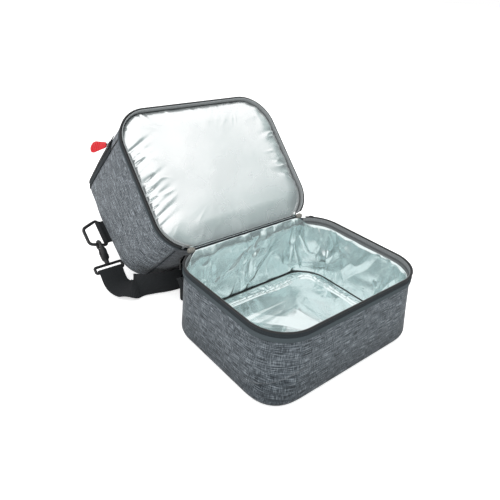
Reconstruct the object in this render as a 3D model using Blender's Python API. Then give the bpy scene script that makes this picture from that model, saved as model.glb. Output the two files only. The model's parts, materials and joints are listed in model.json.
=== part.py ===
"""Insulated two-deck cooler bag, shown with its upper compartment folded back. Metres, +Z up, front at -Y."""

import math

import bpy
from mathutils import Matrix, Vector

# Overall sizes
WIDTH = 0.270
DEPTH = 0.215
CORNER_RADIUS = 0.050
LOWER_HEIGHT = 0.107
UPPER_BACK_HEIGHT = 0.1547
UPPER_FRONT_HEIGHT = 0.190

# Layers of the wall, from outside to inside
SKIN = 0.0012
FOAM = 0.006
LINER = 0.0008
BOARD = 0.006
GAP = 0.0003
FLOOR_GAP = 0.0005

# Zips
TAPE_WIDTH = 0.010
TAPE = 0.0010
COIL_WIDTH = 0.0016
COIL = 0.0018
COIL_SPLIT = 0.0009
ZIP_END_ANGLE = math.radians(58)

# Front flap of the upper compartment
FLAP_DEPTH = 0.025
FLAP_FOLD_HEIGHT = 0.046
FLAP_GAP = 0.0006

# Zip sliders and pulls
SLIDER_LENGTH = 0.012
SLIDER_WIDTH = 0.008
SLIDER_PLATE = 0.0020
SLIDER_LIFT = 0.0029
FLAP_PULL_LENGTH = 0.030
FLAP_PULL_WIDTH = 0.013
FLAP_PULL_TURN = math.radians(-60)
LOWER_PULL_LENGTH = 0.016
LOWER_PULL_WIDTH = 0.009
PULL_THICKNESS = 0.0016
LOWER_SLIDER_ANGLE = math.radians(48)
SLIDER_DROP = 0.003

# Divider pad
PAD_BASE = 0.008
PAD_EDGE = 0.0020
PAD_CROWN = 0.010
PAD_DRAW_IN = 0.004
PAD_INSET = 0.003

# Strap hardware
WEBBING = 0.038
WEBBING_THICKNESS = 0.0018
RING_PLACE = 0.098
RING_ROD = 0.0022
RING_BAR = 0.042
RING_FAR_BAR = 0.028
RING_REACH = 0.026
TAB_LENGTH = 0.012
TAB_SEAT = 0.002
HOOK_ROD = 0.0023
HOOK_EYE_RADIUS = 0.0075
HOOK_LENGTH = 0.030
STEM_LENGTH = 0.005
NECK_LENGTH = 0.003
HOOK_LEAN = (0.0, -0.79, -0.613)
SLOT_SIDE = 0.001
SLOT_DEPTH = 0.010
GATE_ROD = 0.0016
GATE_PLAY = 0.0010
ADJUSTER_LENGTH = 0.022
ADJUSTER_PLACE = (-0.030, 0.137)
ADJUSTER_PLAY = 0.0006

# Rear hinge seam, and the reach of the cutting tools
BINDING_PAST = 0.012
PATCH_LENGTH = 0.008
FAR = 0.4

# Worked out from the sizes above
CORNER_STEPS = 6
HALF_WIDTH = WIDTH / 2
BACK = DEPTH / 2
FOAM_INSET = SKIN + GAP
LINER_INSET = FOAM_INSET + FOAM + GAP
INNER_INSET = LINER_INSET + LINER + GAP
RIM = LOWER_HEIGHT - COIL_SPLIT
OPEN_ANGLE = math.acos(-(LOWER_HEIGHT - FLOOR_GAP) / UPPER_BACK_HEIGHT)
SEAM_DEPTH = DEPTH - FLAP_DEPTH
BINDING_RADIUS = COIL_SPLIT + COIL_WIDTH - GAP

# The strap's route on the floor: distance past the bag's side, y, z, then the direction across its width
STRAP_LEAD = (
    ((0.0250, 0.2240, 0.0120), (1.0, 0.0, 0.0)),
    ((0.0200, 0.2060, 0.0105), (0.92, -0.15, 0.30)),
    ((0.0070, 0.1900, 0.0190), (0.62, -0.30, 0.70)),
    ((-0.0150, 0.1780, 0.0208), (0.30, -0.22, 0.93)),
    ((-0.0400, 0.1725, 0.0202), (0.05, -0.05, 1.0)),
)
STRAP_FOLD = (
    (-0.060, 0.171), (-0.020, 0.171), (0.020, 0.171), (0.0295, 0.1695), (0.034, 0.1625),
    (0.0295, 0.1555), (0.020, 0.154), (-0.030, 0.154), (-0.080, 0.154), (-0.0895, 0.1525),
    (-0.094, 0.1455), (-0.0895, 0.1385), (-0.080, 0.137), (-0.060, 0.137), (-0.030, 0.137),
    (0.000, 0.137), (0.020, 0.1375), (0.048, 0.143), (0.072, 0.157),
)
STRAP_REST = 0.0196
STRAP_LIFT = 0.0245
STRAP_LIFT_FROM = 0.145
STRAP_STEPS = 4

for old in list(bpy.data.objects):
    bpy.data.objects.remove(old)

MATERIALS = {
    "heather": ((0.15, 0.165, 0.18), 0.9, 0.0),
    "charcoal": ((0.06, 0.07, 0.075), 0.85, 0.0),
    "coil": ((0.012, 0.012, 0.014), 0.45, 0.0),
    "foil": ((0.72, 0.78, 0.78), 0.28, 0.9),
    "foam": ((0.82, 0.82, 0.80), 0.95, 0.0),
    "patch": ((0.34, 0.33, 0.30), 0.9, 0.0),
    "webbing": ((0.02, 0.022, 0.024), 0.8, 0.0),
    "plastic": ((0.015, 0.015, 0.017), 0.4, 0.0),
    "red": ((0.75, 0.012, 0.025), 0.5, 0.0),
}


def material(finish):
    """The named finish as a Principled material, made once."""
    found = bpy.data.materials.get(finish)
    if found:
        return found
    made = bpy.data.materials.new(finish)
    made.use_nodes = True
    shader = made.node_tree.nodes["Principled BSDF"]
    colour, roughness, metallic = MATERIALS[finish]
    shader.inputs["Base Color"].default_value = (*colour, 1.0)
    shader.inputs["Roughness"].default_value = roughness
    shader.inputs["Metallic"].default_value = metallic
    return made


def part(name, points, faces, finish, parent=None):
    """A mesh object with one finish, placed under its parent."""
    mesh = bpy.data.meshes.new(name)
    mesh.from_pydata([tuple(p) for p in points], [], faces)
    mesh.update()
    obj = bpy.data.objects.new(name, mesh)
    mesh.materials.append(material(finish))
    bpy.context.scene.collection.objects.link(obj)
    obj.parent = parent
    return obj


def pivot(name, matrix, parent=None):
    """An empty on a joint's axis."""
    empty = bpy.data.objects.new(name, None)
    bpy.context.scene.collection.objects.link(empty)
    empty.empty_display_size = 0.02
    empty.parent = parent
    empty.matrix_basis = matrix
    return empty


def under(obj, empty):
    """Puts an object under an empty and keeps it in its place."""
    bpy.context.view_layer.update()
    place = obj.matrix_world.copy()
    obj.parent = empty
    obj.matrix_parent_inverse = empty.matrix_world.inverted() @ place @ obj.matrix_basis.inverted()
    return obj


def cut(obj, tool, operation="DIFFERENCE"):
    """A Boolean with a tool that stays out of the model."""
    modifier = obj.modifiers.new(tool.name, "BOOLEAN")
    modifier.operation = operation
    modifier.object = tool
    tool.hide_render = True
    tool.display_type = "WIRE"
    return obj


def outline(inset):
    """The bag's plan, drawn in by the inset, counter-clockwise from the right of the front."""
    radius = CORNER_RADIUS - inset
    across, along = HALF_WIDTH - CORNER_RADIUS, BACK - CORNER_RADIUS
    points = []
    for corner, (side, end) in enumerate(((1, -1), (1, 1), (-1, 1), (-1, -1))):
        for step in range(CORNER_STEPS + 1):
            angle = math.radians(90 * (corner - 1) + 90 * step / CORNER_STEPS)
            points.append((side * across + radius * math.cos(angle), end * along + radius * math.sin(angle)))
    return points


def zip_path(inset, end_angle):
    """The plan's open run from the left back corner round the front to the right back corner."""
    radius = CORNER_RADIUS - inset
    across, along = HALF_WIDTH - CORNER_RADIUS, BACK - CORNER_RADIUS
    turns = ((-1, 1, 180 - math.degrees(end_angle), 180), (-1, -1, 180, 270), (1, -1, 270, 360),
             (1, 1, 0, math.degrees(end_angle)))
    points = []
    for side, end, first, last in turns:
        for step in range(CORNER_STEPS + 1):
            angle = math.radians(first + (last - first) * step / CORNER_STEPS)
            points.append((side * across + radius * math.cos(angle), end * along + radius * math.sin(angle)))
    return points


def height(level, y):
    """A level is a number, or a function of the depth."""
    return level(y) if callable(level) else level


def plate(name, plan, low, high, finish, parent=None, shift=0.0):
    """A closed slab on a plan, between two levels."""
    count = len(plan)
    points = [(x, y + shift, height(low, y)) for x, y in plan] + [(x, y + shift, height(high, y)) for x, y in plan]
    sides = [(i, (i + 1) % count, count + (i + 1) % count, count + i) for i in range(count)]
    faces = [tuple(range(count))[::-1], tuple(range(count, 2 * count)), *sides]
    return part(name, points, faces, finish, parent)


def wall(name, outer, inner, low, high, finish, parent=None, shift=0.0, closed=True):
    """A wall between two plans and two levels, all round or along an open run."""
    count = len(outer)
    rows = ((outer, low), (outer, high), (inner, high), (inner, low))
    points = [(x, y + shift, height(level, y)) for plan, level in rows for x, y in plan]
    faces = []
    for i in range(count if closed else count - 1):
        j = (i + 1) % count
        for row in range(4):
            after = (row + 1) % 4
            faces.append((row * count + i, row * count + j, after * count + j, after * count + i))
    if not closed:
        faces.append(tuple(row * count for row in range(4)))
        faces.append(tuple(row * count + count - 1 for row in (3, 2, 1, 0)))
    return part(name, points, faces, finish, parent)


def block(name, low, high, finish="plastic", parent=None):
    """A box between two corners."""
    points = [(x, y, z) for z in (low[2], high[2]) for y in (low[1], high[1]) for x in (low[0], high[0])]
    faces = [(0, 2, 3, 1), (4, 5, 7, 6), (0, 1, 5, 4), (2, 6, 7, 3), (0, 4, 6, 2), (1, 3, 7, 5)]
    return part(name, points, faces, finish, parent)


def rod(name, route, radius, finish, parent=None, cyclic=False, sides=2):
    """A round rod along a list of points."""
    curve = bpy.data.curves.new(name, "CURVE")
    curve.dimensions = "3D"
    curve.bevel_depth = radius
    curve.bevel_resolution = sides
    curve.use_fill_caps = True
    spline = curve.splines.new("POLY")
    spline.points.add(len(route) - 1)
    for point, place in zip(spline.points, route):
        point.co = (*place, 1.0)
    spline.use_cyclic_u = cyclic
    curve.materials.append(material(finish))
    obj = bpy.data.objects.new(name, curve)
    bpy.context.scene.collection.objects.link(obj)
    obj.parent = parent
    return obj


def smooth_run(rows, steps):
    """Points on a smooth curve through the rows, by Catmull and Rom's formula."""
    rows = [Vector(row) for row in rows]
    run = []
    for i in range(len(rows) - 1):
        before, here, there, after = rows[max(i - 1, 0)], rows[i], rows[i + 1], rows[min(i + 2, len(rows) - 1)]
        for step in range(steps):
            t = step / steps
            run.append(0.5 * (2 * here + (there - before) * t + (2 * before - 5 * here + 4 * there - after) * t ** 2
                              + (3 * here - before - 3 * there + after) * t ** 3))
    return [*run, rows[-1]]


def ribbon(name, centres, across, width, thickness, finish):
    """A flat band along its centres, with its width along the directions across."""
    points, faces = [], []
    last = len(centres) - 1
    for i, centre in enumerate(centres):
        ahead = (centres[min(i + 1, last)] - centres[max(i - 1, 0)]).normalized()
        flat = (across[i] - ahead * across[i].dot(ahead)).normalized()
        normal = ahead.cross(flat)
        for u, v in ((-1, -1), (1, -1), (1, 1), (-1, 1)):
            points.append(centre + flat * (u * width / 2) + normal * (v * thickness / 2))
    for i in range(last):
        for k in range(4):
            j = (k + 1) % 4
            faces.append((4 * i + k, 4 * i + j, 4 * i + 4 + j, 4 * i + 4 + k))
    faces += [(3, 2, 1, 0), tuple(4 * last + k for k in range(4))]
    return part(name, points, faces, finish)


# Lower compartment
FLOOR_TOP = SKIN + GAP + BOARD
TAPE_BOTTOM = RIM - TAPE_WIDTH
plate("lower_base_panel", outline(0), 0, SKIN, "heather")
plate("lower_base_foam", outline(LINER_INSET), SKIN + GAP, FLOOR_TOP, "foam")
wall("lower_wall_foam", outline(FOAM_INSET), outline(FOAM_INSET + FOAM), SKIN + GAP, RIM - COIL_WIDTH, "foam")
wall("lower_outer_wall", outline(0), outline(SKIN), SKIN + GAP, RIM - COIL_WIDTH, "heather")
wall("lower_liner_wall", outline(LINER_INSET), outline(LINER_INSET + LINER), FLOOR_TOP + GAP, RIM - COIL_WIDTH,
     "foil")
plate("lower_liner_floor", outline(INNER_INSET), FLOOR_TOP + GAP, FLOOR_TOP + GAP + LINER, "foil")
wall("lower_zip_tape", zip_path(-GAP - TAPE, ZIP_END_ANGLE), zip_path(-GAP, ZIP_END_ANGLE), TAPE_BOTTOM,
     RIM - COIL_WIDTH, "charcoal", closed=False)
wall("lower_zip_coil", zip_path(-GAP - COIL, ZIP_END_ANGLE), zip_path(SKIN, ZIP_END_ANGLE),
     RIM - COIL_WIDTH + GAP, RIM, "coil", closed=False)

# Rear hinge: a bound seam on the fold line, with a patch over each end of the zip
HINGE = pivot("upper_hinge", Matrix.Translation((0, BACK, LOWER_HEIGHT)) @ Matrix.Rotation(-OPEN_ANGLE, 4, "X"))
HINGE_HALF = HALF_WIDTH - CORNER_RADIUS
BINDING_END = HINGE_HALF + BINDING_PAST
rod("hinge_binding", [(-BINDING_END, BACK, LOWER_HEIGHT), (BINDING_END, BACK, LOWER_HEIGHT)], BINDING_RADIUS,
    "charcoal")
for side, place in (("left", -1), ("right", 1)):
    start = place * (BINDING_END + GAP)
    rod(f"zip_end_patch_{side}", [(start, BACK, LOWER_HEIGHT), (start + place * PATCH_LENGTH, BACK, LOWER_HEIGHT)],
        BINDING_RADIUS, "patch")


# Upper compartment, in the closed bag's own directions with the fold line at the origin
def top_level(y):
    """The sloping top: its height over the fold line at a depth of the bag's plan."""
    share = (BACK - y) / DEPTH
    return UPPER_BACK_HEIGHT + (UPPER_FRONT_HEIGHT - UPPER_BACK_HEIGHT) * share


def below_top(drop):
    """A level that lies under the sloping top."""
    return lambda y: top_level(y) - drop


LID_RIM = COIL_SPLIT + COIL_WIDTH + GAP
WALL_LOW = max(LID_RIM, BINDING_RADIUS + GAP)
TOP_FOAM = FOAM_INSET + FOAM
DIVIDER_TOP = PAD_BASE + GAP + BOARD
LID_FLOOR = DIVIDER_TOP + GAP + LINER


def flap_region(name, grow):
    """The block of space that the front flap takes from the upper compartment."""
    return block(name, (-FAR, -FAR, FLAP_FOLD_HEIGHT + grow), (FAR, -SEAM_DEPTH - grow, FAR), parent=HINGE)


BODY_CUT = flap_region("flap_space", 0)
FLAP_CUT = flap_region("flap_block", FLAP_GAP)
FLAP_PIVOT = pivot("flap_hinge", Matrix.Translation((0, -DEPTH, FLAP_FOLD_HEIGHT)), HINGE)

LID_WALLS = (
    ("outer_wall", outline(0), outline(SKIN), WALL_LOW, below_top(SKIN + GAP), "heather"),
    ("wall_foam", outline(FOAM_INSET), outline(FOAM_INSET + FOAM), WALL_LOW, below_top(FOAM_INSET), "foam"),
    ("liner_wall", outline(LINER_INSET), outline(LINER_INSET + LINER), LID_FLOOR + GAP,
     below_top(LINER_INSET), "foil"),
)
LID_TOPS = (
    ("top_panel", outline(0), below_top(SKIN), below_top(0), "heather"),
    ("top_foam", outline(LINER_INSET), below_top(TOP_FOAM), below_top(FOAM_INSET), "foam"),
    ("top_liner", outline(INNER_INSET), below_top(LINER_INSET + LINER), below_top(LINER_INSET), "foil"),
)
for piece, tool, operation, empty in (("upper", BODY_CUT, "DIFFERENCE", HINGE),
                                      ("flap", FLAP_CUT, "INTERSECT", FLAP_PIVOT)):
    for label, outer, inner, low, high, finish in LID_WALLS:
        sheet = wall(f"{piece}_{label}", outer, inner, low, high, finish, HINGE, -BACK)
        under(cut(sheet, tool, operation), empty)
    for label, plan, low, high, finish in LID_TOPS:
        sheet = plate(f"{piece}_{label}", plan, low, high, finish, HINGE, -BACK)
        under(cut(sheet, tool, operation), empty)

wall("upper_zip_tape", zip_path(-GAP - TAPE, ZIP_END_ANGLE), zip_path(-GAP, ZIP_END_ANGLE), LID_RIM,
     LID_RIM + TAPE_WIDTH - COIL_WIDTH, "charcoal", HINGE, -BACK, closed=False)
wall("upper_zip_coil", zip_path(-GAP - COIL, ZIP_END_ANGLE), zip_path(SKIN, ZIP_END_ANGLE), COIL_SPLIT,
     COIL_SPLIT + COIL_WIDTH, "coil", HINGE, -BACK, closed=False)
plate("divider_board", outline(LINER_INSET), PAD_BASE + GAP, DIVIDER_TOP, "foam", HINGE, -BACK)
plate("upper_liner_floor", outline(LINER_INSET), DIVIDER_TOP + GAP, LID_FLOOR, "foil", HINGE, -BACK)


def divider_pad():
    """The puffy foil pad under the divider: a crown that falls to thin, drawn-in sides between its corners."""
    rim = outline(LINER_INSET + PAD_INSET)
    count = len(rim)
    rings = ((1.0, 0.0), (0.97, 0.45), (0.88, 0.80), (0.65, 0.97), (0.33, 1.0))
    drawn = []
    for x, y in rim:
        side_mid = max(0.0, 1 - (y / (BACK - CORNER_RADIUS)) ** 2)
        front_mid = max(0.0, 1 - (x / (HALF_WIDTH - CORNER_RADIUS)) ** 2)
        pull_x = PAD_DRAW_IN * side_mid * (abs(x) > HALF_WIDTH - CORNER_RADIUS)
        pull_y = PAD_DRAW_IN * front_mid * (abs(y) > BACK - CORNER_RADIUS)
        drawn.append((x - math.copysign(pull_x, x), y - math.copysign(pull_y, y)))
    points = [(x, y - BACK, PAD_BASE) for x, y in drawn]
    for share, rise in rings:
        level = PAD_BASE - PAD_EDGE - PAD_CROWN * rise
        points += [(x * share, y * share - BACK, level) for x, y in drawn]
    points.append((0, -BACK, PAD_BASE - PAD_EDGE - PAD_CROWN))
    faces = [tuple(range(count))]
    for ring in range(len(rings)):
        for i in range(count):
            j = (i + 1) % count
            faces.append((ring * count + i, (ring + 1) * count + i, (ring + 1) * count + j, ring * count + j))
    centre, outer = len(points) - 1, len(rings) * count
    faces += [(outer + i, centre, outer + (i + 1) % count) for i in range(count)]
    return part("divider_foil_pad", points, faces, "foil", HINGE)


divider_pad()


# Zip of the front flap: an inverted U over the flap's seam, on the bag's outside
def seam_band(name, rise, near, far, finish, grow):
    """A band laid over the wall and the top along the flap's seam, between two distances from it."""
    reach = GAP + rise
    shell = plate(name, outline(-reach), 0.0, lambda y: top_level(y) + reach, finish, HINGE, -BACK)
    hollow = plate(f"{name}_hollow", outline(-GAP), -FAR, lambda y: top_level(y) + GAP, finish, HINGE, -BACK)
    cut(shell, hollow)
    low = FLAP_FOLD_HEIGHT + grow
    front, rear = -SEAM_DEPTH + min(near, far), -SEAM_DEPTH + max(near, far)
    span = block(f"{name}_span", (-FAR, front, low), (FAR, rear, FAR), parent=HINGE)
    cut(shell, span, "INTERSECT")
    return shell


for piece, way, empty in (("mouth", 1, HINGE), ("flap", -1, FLAP_PIVOT)):
    edge = way * (COIL_SPLIT + COIL_WIDTH)
    under(seam_band(f"{piece}_zip_tape", TAPE, edge + way * GAP, way * TAPE_WIDTH, "charcoal", FLAP_GAP), empty)
    under(seam_band(f"{piece}_zip_coil", COIL, way * COIL_SPLIT, edge, "coil", FLAP_GAP), empty)


# Zip sliders: a plate outside the coil, with a pull hinged on its outer face
PULL_CLEAR = GAP + PULL_THICKNESS / math.sqrt(2)


def slider(name, pull_name, empty, pull_turn, across, along, pull, finish):
    """A slider on an empty whose X points out of the wall, with its pull turned about Y."""
    block(name, (SLIDER_LIFT, -across / 2, -along / 2), (SLIDER_LIFT + SLIDER_PLATE, across / 2, along / 2),
          "plastic", empty)
    out = Matrix.Translation((SLIDER_LIFT + SLIDER_PLATE + PULL_CLEAR, 0, 0))
    hinge = pivot(f"{pull_name}_hinge", out @ Matrix.Rotation(pull_turn, 4, "Y"), empty)
    half = PULL_THICKNESS / 2
    reach, wide = pull
    block(pull_name, (-half, -wide / 2, -half), (reach, wide / 2, half), finish, hinge)


def corner_frame(side, angle, level):
    """A frame on the outside of a back corner: X out of the wall, Z up, at an angle from the side's direction."""
    centre = (side * (HALF_WIDTH - CORNER_RADIUS), BACK - CORNER_RADIUS, level)
    turn = angle if side > 0 else math.pi - angle
    return Matrix.Translation(centre) @ Matrix.Rotation(turn, 4, "Z") @ Matrix.Translation((CORNER_RADIUS, 0, 0))


for side, place in (("left", -1), ("right", 1)):
    frame = pivot(f"lower_slider_{side}_frame", corner_frame(place, LOWER_SLIDER_ANGLE, LOWER_HEIGHT - SLIDER_DROP))
    slider(f"lower_zip_slider_{side}", f"lower_zip_pull_{side}", frame, math.radians(90), SLIDER_LENGTH,
           SLIDER_WIDTH, (LOWER_PULL_LENGTH, LOWER_PULL_WIDTH), "plastic")

SEAM_TURN = math.asin((CORNER_RADIUS - FLAP_DEPTH) / CORNER_RADIUS)
SLIDER_LEVEL = FLAP_FOLD_HEIGHT + SLIDER_LENGTH / 2 + FLAP_GAP
SEAM_CENTRE = Matrix.Translation((CORNER_RADIUS - HALF_WIDTH, CORNER_RADIUS - DEPTH, SLIDER_LEVEL))
SEAM_OUT = Matrix.Rotation(math.pi + SEAM_TURN, 4, "Z") @ Matrix.Translation((CORNER_RADIUS, 0, 0))
SEAM_FRAME = under(pivot("flap_slider_frame", SEAM_CENTRE @ SEAM_OUT, HINGE), FLAP_PIVOT)
slider("flap_zip_slider", "flap_zip_pull", SEAM_FRAME, FLAP_PULL_TURN, SLIDER_WIDTH, SLIDER_LENGTH,
       (FLAP_PULL_LENGTH, FLAP_PULL_WIDTH), "red")

# Strap hardware, left and right, then the strap between them
SLOPE = math.atan((UPPER_FRONT_HEIGHT - UPPER_BACK_HEIGHT) / DEPTH)
TAB_SHEET = RING_ROD + GAP + WEBBING_THICKNESS
TAB_DROP = TAB_SHEET + TAB_SEAT
TAB_LEVEL = top_level(BACK - RING_PLACE) - TAB_DROP
bpy.context.view_layer.update()


def solid_rod(name, route, radius, finish, parent):
    """A rod turned into a mesh, for use as a tool."""
    guide = rod(f"{name}_guide", route, radius, finish, parent, sides=3)
    guide.hide_render = True
    bpy.context.view_layer.update()
    mesh = bpy.data.meshes.new_from_object(guide.evaluated_get(bpy.context.evaluated_depsgraph_get()))
    obj = bpy.data.objects.new(name, mesh)
    bpy.context.scene.collection.objects.link(obj)
    obj.parent = parent
    return obj


def ring_tab(side, place, frame):
    """A webbing tongue with a loop at its end for the ring's bar."""
    half, root, loop = WEBBING / 2, place * GAP, place * (GAP + TAB_LENGTH)
    tongue = block(f"{side}_ring_tab", (min(root, loop), -half, -WEBBING_THICKNESS),
                   (max(root, loop), half, WEBBING_THICKNESS), "webbing", frame)
    cut(tongue, solid_rod(f"{side}_tab_loop", [(loop, -half, 0), (loop, half, 0)], TAB_SHEET, "webbing", frame),
        "UNION")
    past = half + WEBBING_THICKNESS
    bore = solid_rod(f"{side}_tab_bore", [(loop, -past, 0), (loop, past, 0)], RING_ROD + GAP, "webbing", frame)
    cut(tongue, bore)
    return loop


def strap_clip(side, place):
    """A tab, its ring, and a snap hook whose swivel base takes the strap. Returns the base's strap bar."""
    seat = Matrix.Translation((place * HALF_WIDTH, -RING_PLACE, TAB_LEVEL)) @ Matrix.Rotation(-SLOPE, 4, "X")
    tab_frame = pivot(f"{side}_tab_frame", seat, HINGE)
    loop = ring_tab(side, place, tab_frame)
    ring_hinge = pivot(f"{side}_ring_hinge", Matrix.Translation((loop, 0, 0)), tab_frame)
    reach, bar, far = place * RING_REACH, RING_BAR / 2 + RING_ROD, RING_FAR_BAR / 2
    rod(f"{side}_ring", [(0, -bar, 0), (0, bar, 0), (reach, far, 0), (reach, -far, 0)], RING_ROD, "plastic",
        ring_hinge, cyclic=True)

    # The hook hangs on the ring's lower slanting side and leans towards the strap
    bpy.context.view_layer.update()
    out, lean = Vector((1, 0, 0)), Vector(HOOK_LEAN).normalized()
    frame = Matrix((out, lean, out.cross(lean))).transposed().to_4x4()
    frame.translation = ring_hinge.matrix_world @ Vector((reach / 2, (bar + far) / 2, 0))
    hook = pivot(f"{side}_hook_frame", ring_hinge.matrix_world.inverted() @ frame, ring_hinge)
    eye = HOOK_EYE_RADIUS
    centre = eye - HOOK_ROD - RING_ROD - GAP
    turns = [math.radians(-degrees) for degrees in range(0, 181, 20)]
    bow = [(0, centre + eye * math.sin(turn), eye * math.cos(turn)) for turn in turns]
    neck = centre + HOOK_LENGTH - eye
    stem = neck + NECK_LENGTH
    rod(f"{side}_snap_hook", [*bow, (0, neck - eye, -eye), (0, stem, 0), (0, stem + STEM_LENGTH, 0)], HOOK_ROD,
        "plastic", hook)
    gate_foot = HOOK_ROD + GATE_ROD + GAP
    gate_hinge = pivot(f"{side}_gate_hinge", Matrix.Translation((0, stem + STEM_LENGTH / 2, gate_foot)), hook)
    drop = -stem - STEM_LENGTH / 2
    nose, bend = centre + GATE_PLAY + drop, neck - GATE_ROD + drop
    rise = eye - gate_foot
    rod(f"{side}_hook_gate", [(0, nose, rise), (0, bend, rise), (0, 0, 0)], GATE_ROD, "plastic", gate_hinge)
    top_bar = stem + STEM_LENGTH + GAP + RING_ROD
    slot, low_bar = WEBBING / 2 + RING_ROD + SLOT_SIDE, top_bar + SLOT_DEPTH
    base = rod(f"{side}_swivel_base", [(-slot, top_bar, 0), (slot, top_bar, 0), (slot, low_bar, 0),
                                       (-slot, low_bar, 0)], RING_ROD, "plastic", hook, cyclic=True)
    under(base, ring_hinge)
    return hook, low_bar


def strap_end(side, place):
    """The strap's turn round the bar of its swivel base, from its tail to its lead."""
    hook, low_bar = strap_clip(side, place)
    bpy.context.view_layer.update()
    turn = RING_ROD + GAP + WEBBING_THICKNESS / 2
    rows = []
    for degrees in (90, 135, 180, 225, 270):
        angle = math.radians(degrees)
        spot = hook.matrix_world @ Vector((0, low_bar + turn * math.cos(angle), turn * math.sin(angle)))
        rows.append((*spot, -place, 0, 0))
    return rows


def strap():
    """One length of webbing from hook to hook, folded in three behind the lower compartment."""
    left = [*strap_end("left", -1),
            *((-HALF_WIDTH - past, y, z, *across) for (past, y, z), across in STRAP_LEAD)]
    middle = [(x, y, STRAP_LIFT if y < STRAP_LIFT_FROM else STRAP_REST, 0, 0, 1) for x, y in STRAP_FOLD]
    right = [*strap_end("right", 1),
             *((HALF_WIDTH + past, y, z, -u, v, w) for (past, y, z), (u, v, w) in STRAP_LEAD)]
    run = smooth_run([*left, *middle, *reversed(right)], STRAP_STEPS)
    centres = [Vector(row[:3]) for row in run]
    across = [Vector(row[3:]) for row in run]
    band = ribbon("shoulder_strap", centres, across, WEBBING, WEBBING_THICKNESS, "webbing")
    under(band, HINGE)
    return sum((b - a).length for a, b in zip(centres, centres[1:]))


def strap_adjuster():
    """A slide buckle round the strap's inner run."""
    x, y = ADJUSTER_PLACE
    hole = Vector((ADJUSTER_LENGTH, WEBBING_THICKNESS / 2 + ADJUSTER_PLAY, WEBBING / 2 + ADJUSTER_PLAY))
    shell = Vector((ADJUSTER_LENGTH / 2, hole.y + RING_ROD, hole.z + RING_ROD))
    middle = Vector((x, y, STRAP_LIFT))
    buckle = block("strap_adjuster", middle - shell, middle + shell, "plastic")
    slot = block("adjuster_slot", middle - hole, middle + hole)
    cut(buckle, slot)
    under(buckle, HINGE)
    under(slot, HINGE)


STRAP_LENGTH = strap()
strap_adjuster()
print(f"open angle {math.degrees(OPEN_ANGLE):.2f} degrees, strap {STRAP_LENGTH:.3f} m")
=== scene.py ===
import json
import math

import bmesh
import bpy
import numpy as np
from mathutils import Matrix, Vector


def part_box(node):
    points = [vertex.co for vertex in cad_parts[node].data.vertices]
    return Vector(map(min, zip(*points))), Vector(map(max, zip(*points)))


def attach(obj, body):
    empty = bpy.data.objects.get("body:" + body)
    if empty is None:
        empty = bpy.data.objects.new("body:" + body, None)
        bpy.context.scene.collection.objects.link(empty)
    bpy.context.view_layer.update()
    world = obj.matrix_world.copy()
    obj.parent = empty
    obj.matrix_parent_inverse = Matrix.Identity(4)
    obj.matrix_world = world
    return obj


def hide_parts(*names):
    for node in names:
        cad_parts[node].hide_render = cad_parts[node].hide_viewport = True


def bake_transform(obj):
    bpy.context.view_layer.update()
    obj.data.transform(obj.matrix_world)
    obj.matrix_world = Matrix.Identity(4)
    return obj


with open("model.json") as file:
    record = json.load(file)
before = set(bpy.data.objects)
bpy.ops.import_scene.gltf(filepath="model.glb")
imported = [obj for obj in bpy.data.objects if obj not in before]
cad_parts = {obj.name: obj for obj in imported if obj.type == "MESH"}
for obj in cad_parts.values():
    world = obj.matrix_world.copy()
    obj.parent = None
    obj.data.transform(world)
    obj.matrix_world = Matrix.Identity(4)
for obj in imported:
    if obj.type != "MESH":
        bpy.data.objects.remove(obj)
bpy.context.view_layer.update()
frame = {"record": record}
joints = {joint["name"]: joint for joint in frame["record"]["behaviour"]["joints"]}

# sizes read from the frame: the base panel gives the plan, the joints the fold line and the lid's directions
baseLow, baseHigh = (np.array(corner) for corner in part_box("lower_base_panel"))
bagWidth, bagDepth = (baseHigh - baseLow)[:2]
bagBack = bagDepth / 2
cornerRadius = 0.050
straightX, straightY = bagWidth / 2 - cornerRadius, bagDepth / 2 - cornerRadius
outlineLength = 2 * (bagWidth + bagDepth) - (8 - 2 * math.pi) * cornerRadius
hinge = np.array(joints["upper_hinge"]["pos_m"], float)
rimHeight = hinge[2]
lidUp = np.array(joints["flap_zip_run"]["axis"], float)
lidUp /= np.linalg.norm(lidUp)
lidFront = np.array([0.0, -lidUp[2], lidUp[1]])
roomX, roomUp = np.array([1.0, 0, 0]), np.array([0, 0, 1.0])
lidBackHeight, lidFrontHeight = 0.1547, 0.190
flapFold = (np.array(joints["flap_hinge"]["pos_m"]) - hinge) @ lidUp
flapDepth = 0.025
flapSeam = bagDepth - flapDepth
# the zip starts after this much of each back corner's arc
zipArc = math.radians(32)
zipStart = (straightX + cornerRadius * zipArc) / outlineLength
zipEnd = 1 - zipStart
zipLength = (zipEnd - zipStart) * outlineLength
zipPitch = 0.0016
bothSides = (("left", -1), ("right", 1))
print("frame read, plan", round(bagWidth, 4), round(bagDepth, 4), "rim", round(rimHeight, 4))


# paths and places
def wayAlong(path):
    # distance along a path: zero, then the running sum of the steps between its points
    return np.concatenate([[0], np.cumsum(np.linalg.norm(np.diff(path, axis=0), axis=1))])


def girthOf(loop):
    # distance along a closed loop, back to its first point
    return wayAlong(np.concatenate([loop, loop[:1]]))


def unit(vectors):
    # each vector divided by its length
    return vectors / np.linalg.norm(vectors, axis=-1, keepdims=True)


def ease(value, low, high):
    # smooth step from 0 at low to 1 at high: three times the square less twice the cube
    t = np.clip((value - low) / (high - low), 0, 1)
    return t * t * (3 - 2 * t)


def lidPoint(x, r, t):
    # a point of the upper compartment: x along the fold, r towards its front, t towards its top
    x, r, t = np.broadcast_arrays(x, r, t)
    place = hinge + r[..., None] * lidFront + t[..., None] * lidUp
    place[..., 0] += x
    return place


def lidTop(r):
    # height of the lid's top, which rises evenly from its back to its front
    return lidBackHeight + (lidFrontHeight - lidBackHeight) * r / bagDepth


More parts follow.
